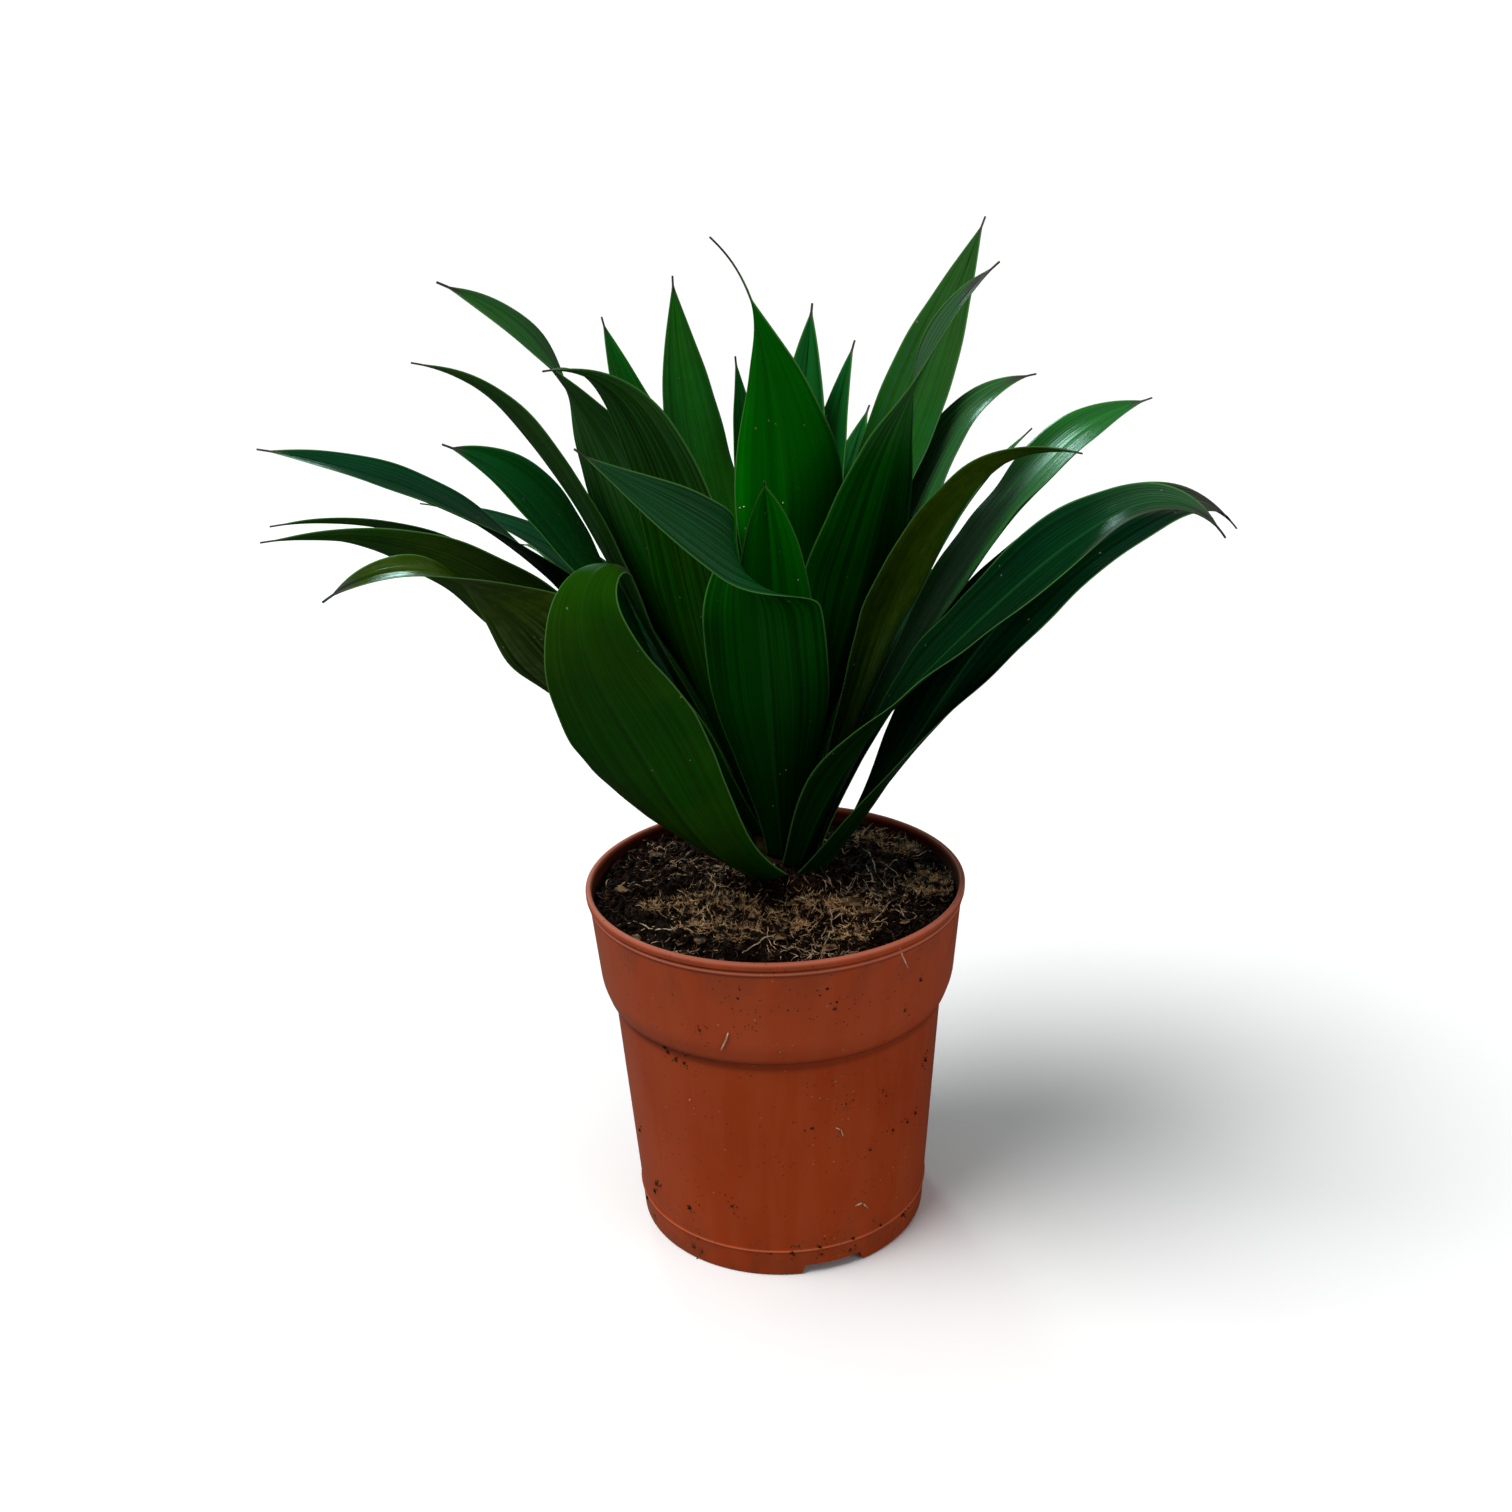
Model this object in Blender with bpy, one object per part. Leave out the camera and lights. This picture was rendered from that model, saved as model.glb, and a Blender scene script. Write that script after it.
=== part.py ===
"""A potted dracaena: nursery pot, soil, cane and every leaf, each its own closed solid.

The origin is the centre of the pot's foot, on the surface it stands on. +Z is up, and the side
that faces a viewer is -Y. Everything is in metres.
"""

import math
from collections import namedtuple

import bmesh
import bpy
import numpy as np
from mathutils import Vector

MM = 0.001

# Pot, driving dimensions
RIM_RADIUS = 60.0 * MM
POT_HEIGHT = 117.0 * MM
FOOT_RADIUS = 47.0 * MM
WALL = 1.2 * MM
COLLAR_HEIGHT = 32.0 * MM
COLLAR_RADIUS = 56.5 * MM
BODY_TOP_RADIUS = 52.8 * MM
SHOULDER = 4.5 * MM
BEAD = 3.0 * MM
BEAD_PROUD = 1.0 * MM
FOOT_RING = 3.6 * MM
FOOT_RING_WIDTH = 4.0 * MM
RIDGE_HEIGHT = 9.3 * MM
RIDGE_PROUD = 0.5 * MM
NOTCHES = 3
NOTCH_FIRST = math.radians(289)
NOTCH_WIDTH = 21.0 * MM
DRAIN_HOLES = 6
DRAIN_RADIUS = 4.0 * MM
DRAIN_CIRCLE = 31.0 * MM
POT_SIDES = 48
EDGE = 0.4 * MM
LIP = 1.7 * MM
RIDGE_BELOW = 0.5 * MM
RIDGE_ABOVE = 0.8 * MM
NOTCH_FLARE = 0.12
NOTCH_SPARE = 4.0 * MM
NOTCH_ROOF = 0.3 * MM
DRAIN_SIDES = 16

# Soil and cane
GAP = 0.3 * MM
SOIL_BELOW_RIM = 4.5 * MM
SOIL_MOUND = 1.5 * MM
SOIL_LUMP = 0.9 * MM
COARSE_LUMP = 6.5 * MM
FINE_LUMP = 4.4 * MM
FINE_SHARE = 0.6
CALM_FROM = 15.0 * MM
CALM_OVER = 12.0 * MM
SOIL_RINGS = 7
SOIL_SIDES = 32
CANE_X = 4.0 * MM
CANE_Y = 11.0 * MM
CANE_RADIUS = 12.0 * MM
CANE_TOP_RADIUS = 3.0 * MM
CANE_ABOVE_SOIL = 66.0 * MM
CANE_IN_SOIL = 30.0 * MM
CANE_SIDES = 16
CANE_RINGS = 12
HOLE_SPARE = 10.0 * MM

# Leaves
LEAF_THICKNESS = 0.8 * MM
MARGIN_THICKNESS = 0.65 * MM
TIP_HALF_WIDTH = 0.6 * MM
CLASP_GAP = 0.5 * MM
FOOT_LIMIT = 0.7
TIP_CURVE = 2.0
TIP_POWER = 1.0
GUTTER_AT = (0.0, 0.25, 0.6, 1.0)
THROAT_CUP = math.radians(35)
TIP_CUP = math.radians(25)
WAVE_SHARE = 0.05
WAVES = 2.5
WAVE_SKEW = 1.5
WAVE_STEP = 2.4
LEAF_STATIONS = 14
LEAF_CELLS = 4
SPINE_STEPS = 8

SOIL_Z = POT_HEIGHT - SOIL_BELOW_RIM + SOIL_MOUND

# One row for each leaf, lowest first. heading: degrees round the cane, 0 to the right (+X) and 270
# to the viewer. height, length, width: millimetres. lean, swing and roll are degrees at equal steps
# from base to tip: lean from upright, swing of the heading, and roll of the blade about its own rib.
# cup: half angle of the gutter. broad: where the blade is widest. drip: where the thread-like tip
# begins, both as shares of the length. clasp: half width of the foot as a share of the cane's radius.
Leaf = namedtuple(
    "Leaf",
    "heading height length width lean swing roll cup broad drip clasp",
    defaults=((0,), (0,), 18, 0.48, 0.985, 0.5),
)

LEAVES = [
    Leaf(233, 1, 176, 34, (56, 50, 45, 41, 38, 35, 2, -150), swing=(0, 14, 16, 5, -5),
         roll=(0, 10, 20, 20, 10),
         cup=14, broad=0.6, drip=1.0, clasp=0.85),
    Leaf(322, 2, 195, 40, (38, 31, 32, 46, 72, 138), swing=(0, 26, 42, 52, 72), roll=(0, 8, 13, 22, 20),
         broad=0.4),
    Leaf(90, 2, 90, 32, (34, 32, 38, 55, 85)),
    Leaf(214, 3.5, 185, 32, (40, 38, 35, 36, 62, 120), roll=(0, 0, 25, 50, 0, -30), broad=0.54),
    Leaf(48, 5, 122, 32, (33, 33, 42, 60, 95)),
    Leaf(140, 5.5, 142, 32, (36, 35, 42, 60, 95)),
    Leaf(199, 6, 190, 38, (37, 36, 37, 43, 66, 95), roll=(0, 15, 35, 40, 10)),
    Leaf(287, 6, 198, 36, (32, 33, 37, 41, 43, 46, 58, 150), swing=(0, 24, 42, 50, 54),
         roll=(0, 10, 20, 30, 20)),
    Leaf(264, 9, 181, 36, (27, 26, 25, 24, 26, 50, 54, 50), swing=(0, 0, 0, 0, 0, -50, -56, -60),
         roll=(0, 0, 0, 0, 0, -50, -50, -40), broad=0.42),
    Leaf(115, 8, 110, 32, (30, 30, 35, 50, 80)),
    Leaf(187, 9.5, 188, 28, (34, 33, 37, 47, 72, 98), roll=(0, 10, 20)),
    Leaf(68, 10.5, 108, 32, (29, 29, 35, 50, 80)),
    Leaf(180, 12, 199, 28, (30, 31, 35, 48, 66, 78), swing=(0, 0, 4, 8, 12), roll=(0, 8, 35, 15, -15, -20),
         broad=0.6),
    Leaf(211, 15, 166, 38, (30, 30, 29, 29, 36, 66), roll=(0, 0, -20, -35, -40), broad=0.62),
    Leaf(3, 15, 170, 40, (28, 27, 30, 36, 43, 74), roll=(0, 0, 0, 8), cup=20, broad=0.72),
    Leaf(157, 17, 160, 24, (28, 30, 38, 54, 74, 88)),
    Leaf(92, 17, 115, 28, (23, 22, 28, 45, 80)),
    Leaf(232, 17.5, 185, 34, (25, 22, 15, 15, 35, 92)),
    Leaf(328, 19, 160, 32, (23, 22, 21, 26, 46, 100), roll=(0, -10), broad=0.62),
    Leaf(190, 20, 179, 28, (26, 26, 25, 25, 34, 80), roll=(0, -5, -5, 10, 25, 20)),
    Leaf(266, 21, 128, 24, (14, 14, 14, 25, 50)),
    Leaf(4, 22, 136, 18, (22, 24, 26, 33, 48)),
    Leaf(205, 25, 192, 34, (23, 22, 20, 18, 36, 66), roll=(0, 15, 30, 30, 25, -30, -60)),
    Leaf(347, 25, 90, 12, (20, 21, 21, 24, 30)),
    Leaf(11, 28.5, 150, 30, (18, 20, 21, 23, 34, 85), roll=(0, 5, 15, 20)),
    Leaf(148, 30, 152, 36, (18, 19, 22, 24, 15)),
    Leaf(60, 31.5, 122, 20, (15, 18, 23, 34, 44)),
    Leaf(315, 34, 177, 34, (20, 20, 18, 17, 30, 55), roll=(0, -10, -25, 0, 45, 50), broad=0.42),
    Leaf(26, 38, 173, 30, (14, 19, 24, 25, 24), roll=(0, 5, 15, 15), broad=0.56),
    Leaf(134, 38, 151, 30, (17, 19, 17, 10, 0)),
    Leaf(70, 40.5, 112, 18, (9, 14, 22, 36, 56)),
    Leaf(48, 44, 124, 18, (7, 11, 15, 26)),
    Leaf(66, 47.5, 130, 22, (5, 8, 12, 17)),
    Leaf(278, 46, 160, 32, (8, 10, 12, 14, 22), swing=(0, 0, 0, -40, -90), broad=0.42, drip=0.88),
    Leaf(146, 51, 112, 20, (4, 4, 4, 4)),
    Leaf(330, 55, 93, 14, (5, 6, 8, 10)),
    Leaf(20, 60, 80, 12, (2, 3, 4, 5)),
]


def clear_scene():
    for obj in list(bpy.data.objects):
        bpy.data.objects.remove(obj, do_unlink=True)


def make_material(name, colour, roughness):
    material = bpy.data.materials.new(name)
    material.use_nodes = True
    shader = material.node_tree.nodes["Principled BSDF"]
    shader.inputs["Base Color"].default_value = (*colour, 1.0)
    shader.inputs["Roughness"].default_value = roughness
    return material


def make_object(name, points, faces, material, sharp=40):
    mesh = bpy.data.meshes.new(name)
    mesh.from_pydata([tuple(map(float, p)) for p in points], [], faces)
    mesh.materials.append(material)
    mesh.shade_smooth()
    mesh.set_sharp_from_angle(angle=math.radians(sharp))
    obj = bpy.data.objects.new(name, mesh)
    bpy.context.scene.collection.objects.link(obj)
    return obj


def turned(profile, sides):
    """Points and faces of a closed (radius, z) outline turned round the Z axis."""
    count = len(profile)
    points = []
    for i in range(sides):
        angle = 2 * math.pi * i / sides
        points += [(r * math.cos(angle), r * math.sin(angle), z) for r, z in profile]
    faces = []
    for i in range(sides):
        here, there = i * count, (i + 1) % sides * count
        for j in range(count):
            k = (j + 1) % count
            faces.append((here + j, there + j, there + k, here + k))
    return points, faces


def cut(target, cutters):
    """Takes the cutters out of the target and removes them."""
    holder = bpy.data.collections.new("cutters")
    bpy.context.scene.collection.children.link(holder)
    for cutter in cutters:
        bpy.context.scene.collection.objects.unlink(cutter)
        holder.objects.link(cutter)
    modifier = target.modifiers.new("cut", "BOOLEAN")
    modifier.operand_type = "COLLECTION"
    modifier.collection = holder
    modifier.operation = "DIFFERENCE"
    bpy.context.view_layer.update()
    graph = bpy.context.evaluated_depsgraph_get()
    mesh = bpy.data.meshes.new_from_object(target.evaluated_get(graph))
    target.modifiers.clear()
    old = target.data
    target.data = mesh
    bpy.data.meshes.remove(old)
    for cutter in cutters:
        bpy.data.objects.remove(cutter, do_unlink=True)
    bpy.data.collections.remove(holder)


def collar_bottom():
    return POT_HEIGHT - COLLAR_HEIGHT


def outer_profile():
    """Outside of the pot from foot to rim, as (radius, z)."""
    shoulder = collar_bottom() - SHOULDER
    taper = (BODY_TOP_RADIUS - FOOT_RADIUS) / shoulder
    ridge = FOOT_RADIUS + taper * RIDGE_HEIGHT
    bead = POT_HEIGHT - BEAD
    below_bead = RIM_RADIUS - BEAD_PROUD
    return [
        (FOOT_RADIUS - EDGE, 0.0),
        (FOOT_RADIUS, EDGE),
        (ridge, RIDGE_HEIGHT - RIDGE_BELOW),
        (ridge + RIDGE_PROUD, RIDGE_HEIGHT),
        (ridge, RIDGE_HEIGHT + RIDGE_ABOVE),
        (BODY_TOP_RADIUS, shoulder),
        (BODY_TOP_RADIUS + EDGE, shoulder + 3 * EDGE),
        (COLLAR_RADIUS - 2 * EDGE, collar_bottom() - EDGE),
        (COLLAR_RADIUS, collar_bottom() + 3 * EDGE),
        (below_bead, bead - EDGE),
        (RIM_RADIUS, bead + EDGE),
        (RIM_RADIUS, POT_HEIGHT - 2 * EDGE),
        (RIM_RADIUS - 2 * EDGE, POT_HEIGHT),
    ]


def inner_profile():
    """Inside of the pot from rim to base plate, one wall in from the outside."""
    shoulder = collar_bottom() - SHOULDER
    return [
        (RIM_RADIUS - LIP, POT_HEIGHT),
        (RIM_RADIUS - BEAD_PROUD - WALL, POT_HEIGHT - BEAD),
        (COLLAR_RADIUS - WALL, collar_bottom() + 4 * EDGE),
        (BODY_TOP_RADIUS - WALL + EDGE, shoulder + 3 * EDGE),
        (BODY_TOP_RADIUS - WALL, shoulder - 2 * EDGE),
        (FOOT_RADIUS - WALL, FOOT_RING + WALL + 3 * EDGE),
        (FOOT_RADIUS - WALL - 3 * EDGE, FOOT_RING + WALL),
    ]


def build_pot(material):
    """A thin moulded nursery pot: a turned wall on a notched foot ring, with drain holes."""
    inside = inner_profile()
    plate_edge = FOOT_RADIUS - FOOT_RING_WIDTH
    outline = outer_profile() + inside
    # The turned wall ends at the base plate's edge: the plate is a disc on top of the foot ring.
    outline += [(plate_edge, FOOT_RING + WALL), (plate_edge, FOOT_RING), (plate_edge, 0.0)]
    points, faces = turned(outline, POT_SIDES)
    count = len(outline)
    faces = [face for face in faces if face[0] % count != count - 3]
    top = [i * count + count - 3 for i in range(POT_SIDES)]
    bottom = [i * count + count - 2 for i in range(POT_SIDES)]
    faces.append(tuple(top))
    faces.append(tuple(reversed(bottom)))
    pot = make_object("pot", points, faces, material, 30)
    recalculate(pot)
    cut(pot, notch_cutters() + drain_cutters())
    return pot


def recalculate(obj):
    work = bmesh.new()
    work.from_mesh(obj.data)
    bmesh.ops.recalc_face_normals(work, faces=work.faces)
    work.to_mesh(obj.data)
    work.free()


def notch_cutters():
    """Wedges with slanting ends that open the foot ring to the outside."""
    cutters = []
    reach = FOOT_RING_WIDTH + NOTCH_SPARE
    for i in range(NOTCHES):
        angle = NOTCH_FIRST + 2 * math.pi * i / NOTCHES
        work = bmesh.new()
        bmesh.ops.create_cube(work, size=1.0)
        for vert in work.verts:
            above = vert.co.z > 0
            wide = NOTCH_WIDTH * (1 - NOTCH_FLARE if above else 1 + NOTCH_FLARE)
            vert.co = Vector((
                FOOT_RADIUS - FOOT_RING_WIDTH / 2 + vert.co.x * reach,
                vert.co.y * wide,
                FOOT_RING - NOTCH_ROOF if above else -NOTCH_SPARE,
            ))
        mesh = bpy.data.meshes.new("notch")
        work.to_mesh(mesh)
        work.free()
        cutter = bpy.data.objects.new("notch", mesh)
        cutter.rotation_euler.z = angle
        cutter.hide_render = True
        bpy.context.scene.collection.objects.link(cutter)
        cutters.append(cutter)
    return cutters


def drain_cutters():
    """Round holes in the base plate, and one in its middle."""
    cutters = []
    for i in range(DRAIN_HOLES + 1):
        ring = DRAIN_CIRCLE if i < DRAIN_HOLES else 0.0
        angle = 2 * math.pi * i / DRAIN_HOLES
        work = bmesh.new()
        bmesh.ops.create_cone(
            work, cap_ends=True, segments=DRAIN_SIDES,
            radius1=DRAIN_RADIUS, radius2=DRAIN_RADIUS, depth=5 * WALL
        )
        mesh = bpy.data.meshes.new("drain")
        work.to_mesh(mesh)
        work.free()
        cutter = bpy.data.objects.new("drain", mesh)
        cutter.location = (ring * math.cos(angle), ring * math.sin(angle), FOOT_RING + WALL / 2)
        cutter.hide_render = True
        bpy.context.scene.collection.objects.link(cutter)
        cutters.append(cutter)
    return cutters


def soil_height(x, y):
    """Height of the soil's lumpy top, flat close round the cane."""
    from_axis = math.hypot(x, y) / RIM_RADIUS
    from_cane = math.hypot(x - CANE_X, y - CANE_Y)
    mound = SOIL_MOUND * (1 - from_axis**2)
    calm = min(1.0, max(0.0, (from_cane - CALM_FROM) / CALM_OVER))
    lumps = math.sin(x / COARSE_LUMP + 1) * math.sin(y / COARSE_LUMP)
    lumps += FINE_SHARE * math.sin(x / FINE_LUMP) * math.cos((y + x / 2) / FINE_LUMP)
    ground = POT_HEIGHT - SOIL_BELOW_RIM
    return ground + (mound + SOIL_LUMP * lumps) * calm + SOIL_MOUND * (1 - calm)


def build_soil(material):
    """The soil fills the pot just inside its wall, with a plain hole for the cane."""
    wall = [(r - GAP, z) for r, z in inner_profile()[2:]]
    rim = wall_radius(POT_HEIGHT - SOIL_BELOW_RIM) - GAP
    floor = FOOT_RING + WALL + GAP
    wall[-1] = (wall[-1][0], floor)
    points = []
    rings = []
    for i in range(SOIL_RINGS):
        radius = rim * (1 - i / SOIL_RINGS)
        ring = []
        for j in range(SOIL_SIDES):
            angle = 2 * math.pi * j / SOIL_SIDES
            x, y = radius * math.cos(angle), radius * math.sin(angle)
            height = POT_HEIGHT - SOIL_BELOW_RIM if i == 0 else soil_height(x, y)
            ring.append(len(points))
            points.append((x, y, height))
        rings.append(ring)
    centre = len(points)
    points.append((0.0, 0.0, soil_height(0.0, 0.0)))
    below = []
    for radius, z in wall:
        ring = []
        for j in range(SOIL_SIDES):
            angle = 2 * math.pi * j / SOIL_SIDES
            ring.append(len(points))
            points.append((radius * math.cos(angle), radius * math.sin(angle), z))
        below.append(ring)
    faces = []
    for outer, inner in zip(rings, rings[1:]):
        for j in range(SOIL_SIDES):
            k = (j + 1) % SOIL_SIDES
            faces.append((outer[j], outer[k], inner[k]))
            faces.append((outer[j], inner[k], inner[j]))
    for j in range(SOIL_SIDES):
        faces.append((rings[-1][j], rings[-1][(j + 1) % SOIL_SIDES], centre))
    column = [rings[0]] + below
    for upper, lower in zip(column, column[1:]):
        for j in range(SOIL_SIDES):
            k = (j + 1) % SOIL_SIDES
            faces.append((upper[j], lower[j], lower[k], upper[k]))
    faces.append(tuple(reversed(below[-1])))
    soil = make_object("soil", points, faces, material, 60)
    recalculate(soil)
    cut(soil, [cane_hole()])
    return soil


def wall_radius(z):
    """Inside radius of the pot's wall at a height."""
    profile = inner_profile()
    heights = [point[1] for point in reversed(profile)]
    radii = [point[0] for point in reversed(profile)]
    return float(np.interp(z, heights, radii))


def cane_hole():
    depth = CANE_IN_SOIL + GAP
    tall = depth + HOLE_SPARE
    work = bmesh.new()
    bmesh.ops.create_cone(
        work, cap_ends=True, segments=CANE_SIDES,
        radius1=CANE_RADIUS + 2 * GAP, radius2=CANE_RADIUS + 2 * GAP, depth=tall
    )
    mesh = bpy.data.meshes.new("cane_hole")
    work.to_mesh(mesh)
    work.free()
    hole = bpy.data.objects.new("cane_hole", mesh)
    hole.location = (CANE_X, CANE_Y, SOIL_Z - depth + tall / 2)
    hole.hide_render = True
    bpy.context.scene.collection.objects.link(hole)
    return hole


def cane_radius(height):
    """Radius of the cane at a height above the soil."""
    share = min(1.0, max(0.0, height / CANE_ABOVE_SOIL))
    return CANE_RADIUS + (CANE_TOP_RADIUS - CANE_RADIUS) * share


def build_cane(material):
    """The short cane that carries the leaves, straight below the soil and tapering above it."""
    outline = [(0.0, -CANE_IN_SOIL), (CANE_RADIUS, -CANE_IN_SOIL)]
    for i in range(CANE_RINGS + 1):
        height = CANE_ABOVE_SOIL * i / CANE_RINGS
        outline.append((cane_radius(height), height))
    outline.append((0.0, CANE_ABOVE_SOIL + CANE_TOP_RADIUS))
    points = [(0.0, 0.0, outline[0][1]), (0.0, 0.0, outline[-1][1])]
    rings = []
    for radius, z in outline[1:-1]:
        ring = []
        for j in range(CANE_SIDES):
            angle = 2 * math.pi * (j + 0.5) / CANE_SIDES
            ring.append(len(points))
            points.append((radius * math.cos(angle), radius * math.sin(angle), z))
        rings.append(ring)
    faces = []
    for j in range(CANE_SIDES):
        k = (j + 1) % CANE_SIDES
        faces.append((0, rings[0][k], rings[0][j]))
        faces.append((1, rings[-1][j], rings[-1][k]))
        for lower, upper in zip(rings, rings[1:]):
            faces.append((lower[j], lower[k], upper[k], upper[j]))
    cane = make_object("cane", points, faces, material)
    cane.location = (CANE_X, CANE_Y, SOIL_Z)
    return cane


def spread(values, t):
    """Values given at equal steps from base to tip, read at t."""
    return np.interp(t, np.linspace(0, 1, len(values)), values)


def half_width(leaf, t):
    """Half the blade's width along its length: a clasping foot, a broad middle and a thread-like tip."""
    widest = leaf.width * MM / 2
    rise = np.clip(t / leaf.broad, 0, 1)
    rise = rise * rise * (3 - 2 * rise)
    foot = min(leaf.clasp * cane_radius(leaf.height * MM), widest * FOOT_LIMIT)
    body = foot + (widest - foot) * rise
    fall = np.clip((t - leaf.broad) / (leaf.drip - leaf.broad), 0, 1)
    return np.maximum(body * (1 - fall**TIP_CURVE) ** TIP_POWER, TIP_HALF_WIDTH)


def spine(leaf, t):
    """Rib points with their along, side and inward directions, found by walking up the leaf."""
    steps = (len(t) - 1) * SPINE_STEPS
    fine = np.linspace(0, 1, steps + 1)
    lean = np.radians(spread(leaf.lean, fine))
    heading = np.radians(leaf.heading + spread(leaf.swing, fine))
    along = np.stack([np.sin(lean) * np.cos(heading), np.sin(lean) * np.sin(heading), np.cos(lean)], 1)
    middle = (along[1:] + along[:-1]) / 2
    out = cane_radius(leaf.height * MM) + CLASP_GAP + LEAF_THICKNESS / 2
    angle = math.radians(leaf.heading)
    start = np.array([
        CANE_X + out * math.cos(angle), CANE_Y + out * math.sin(angle), SOIL_Z + leaf.height * MM
    ])
    path = start + np.vstack([np.zeros(3), np.cumsum(middle * leaf.length * MM / steps, axis=0)])
    keep = np.arange(0, steps + 1, SPINE_STEPS)
    heading, along, path = heading[keep], along[keep], path[keep]
    side = np.stack([-np.sin(heading), np.cos(heading), np.zeros_like(heading)], 1)
    inward = np.cross(along, side)
    roll = np.radians(spread(leaf.roll, t))[:, None]
    rolled_side = np.cos(roll) * side + np.sin(roll) * inward
    rolled_inward = np.cos(roll) * inward - np.sin(roll) * side
    return path, rolled_side, rolled_inward


def leaf_surface(leaf, phase):
    """Middle surface of a blade, as a grid of stations by columns."""
    t = np.linspace(0, 1, LEAF_STATIONS)
    path, side, inward = spine(leaf, t)
    half = half_width(leaf, t)
    clasp = half[0] / (cane_radius(leaf.height * MM) + GAP)
    gutter = np.interp(t, GUTTER_AT, (clasp, THROAT_CUP, math.radians(leaf.cup), TIP_CUP))
    u = np.linspace(-1, 1, LEAF_CELLS + 1)
    angle = gutter[:, None] * u
    radius = (half / gutter)[:, None]
    across = radius * np.sin(angle)
    lift = radius * (1 - np.cos(angle))
    turn = 2 * math.pi * WAVES * t[:, None] + phase + WAVE_SKEW * u
    free = np.clip(t[:, None] / GUTTER_AT[1] - 1, 0, 1)
    lift = lift + WAVE_SHARE * half[:, None] * u**2 * np.sin(turn) * free
    return path[:, None] + across[..., None] * side[:, None] + lift[..., None] * inward[:, None]


def build_leaf(name, leaf, phase, material):
    """A thin closed blade: its surface pushed out both ways, split into triangles alike on both faces."""
    surface = leaf_surface(leaf, phase)
    rows, columns = surface.shape[:2]
    along = np.gradient(surface, axis=0)
    across = np.gradient(surface, axis=1)
    normal = np.cross(along, across)
    normal /= np.linalg.norm(normal, axis=2, keepdims=True)
    u = np.linspace(-1, 1, columns)
    half = (LEAF_THICKNESS + (MARGIN_THICKNESS - LEAF_THICKNESS) * u**2) / 2
    upper = surface + normal * half[None, :, None]
    under = surface - normal * half[None, :, None]
    points = np.concatenate([upper.reshape(-1, 3), under.reshape(-1, 3)])
    count = rows * columns
    faces = []
    for i in range(rows - 1):
        for j in range(columns - 1):
            a = i * columns + j
            b, c, d = a + 1, a + columns + 1, a + columns
            faces += [(a, c, b), (a, d, c)]
            faces += [(count + a, count + b, count + c), (count + a, count + c, count + d)]
    rim = [j for j in range(columns)]
    rim += [i * columns + columns - 1 for i in range(1, rows)]
    rim += [(rows - 1) * columns + j for j in range(columns - 2, -1, -1)]
    rim += [i * columns for i in range(rows - 2, 0, -1)]
    for a, b in zip(rim, rim[1:] + rim[:1]):
        faces += [(a, b, count + b), (a, count + b, count + a)]
    leaf_object = make_object(name, points, faces, material, 60)
    recalculate(leaf_object)
    return leaf_object


def main():
    clear_scene()
    pot_plastic = make_material("pot_plastic", (0.24, 0.05, 0.02), 0.45)
    peat = make_material("peat", (0.03, 0.02, 0.012), 0.95)
    cane_bark = make_material("cane_bark", (0.12, 0.10, 0.04), 0.8)
    leaf_green = make_material("leaf_green", (0.01, 0.09, 0.015), 0.35)
    build_pot(pot_plastic)
    build_soil(peat)
    build_cane(cane_bark)
    for number, leaf in enumerate(LEAVES, 1):
        build_leaf(f"leaf_{number:02d}", leaf, number * WAVE_STEP, leaf_green)


main()
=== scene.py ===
# %% [markdown]
# # A potted dracaena
# The plant is a fountain of strap-shaped leaves on a short cane, in a thin plastic nursery pot of
# peat. The solids that the frame holds are plain. This lesson puts a finished piece over each one:
# a turned pot, a bed of peat with its litter, a ringed cane, and leaves with ribs, stripes and
# dry tips. Every piece follows the same few rules of growth as the solid it stands for.

# %% Load the frame
import math
import random
from collections import namedtuple

import bmesh
import bpy
import numpy as np
from mathutils import Matrix, Vector, noise
from mathutils.bvhtree import BVHTree


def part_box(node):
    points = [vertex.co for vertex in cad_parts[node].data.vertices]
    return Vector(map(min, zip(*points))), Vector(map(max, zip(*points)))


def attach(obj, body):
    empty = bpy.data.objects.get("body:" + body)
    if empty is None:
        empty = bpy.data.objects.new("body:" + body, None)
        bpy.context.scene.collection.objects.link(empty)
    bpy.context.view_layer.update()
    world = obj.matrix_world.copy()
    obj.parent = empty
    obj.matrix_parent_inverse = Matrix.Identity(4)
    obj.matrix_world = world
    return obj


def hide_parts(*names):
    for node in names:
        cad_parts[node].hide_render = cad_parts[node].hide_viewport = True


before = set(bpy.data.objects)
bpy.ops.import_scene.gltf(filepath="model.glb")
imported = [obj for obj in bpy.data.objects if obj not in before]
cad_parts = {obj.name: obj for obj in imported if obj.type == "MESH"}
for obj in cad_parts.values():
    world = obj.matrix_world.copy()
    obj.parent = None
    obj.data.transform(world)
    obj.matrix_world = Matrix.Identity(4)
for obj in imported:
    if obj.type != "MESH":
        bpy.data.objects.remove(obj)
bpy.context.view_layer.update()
MM = 0.001

# %% [markdown]
# ## The camera
# A camera that copies a photograph needs three things: where it stood, which way it looked and how
# wide its lens was. The pot's rim and foot are circles of known size, so their ellipses fix all
# three. Blender gives the lens in millimetres of a 36 mm sensor.

# %% Camera
PICTURE_SIDE = 1512
FOCAL_PIXELS = 1700
SENSOR_WIDTH = 36.0
CAMERA_PLACE = Vector((0.0, -490.4, 345.2)) * MM
CAMERA_PITCH = math.radians(20.91)
CAMERA_YAW = math.radians(-0.56)
CAMERA_ROLL = math.radians(-1.79)
NEAREST_SEEN = 10 * MM


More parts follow.
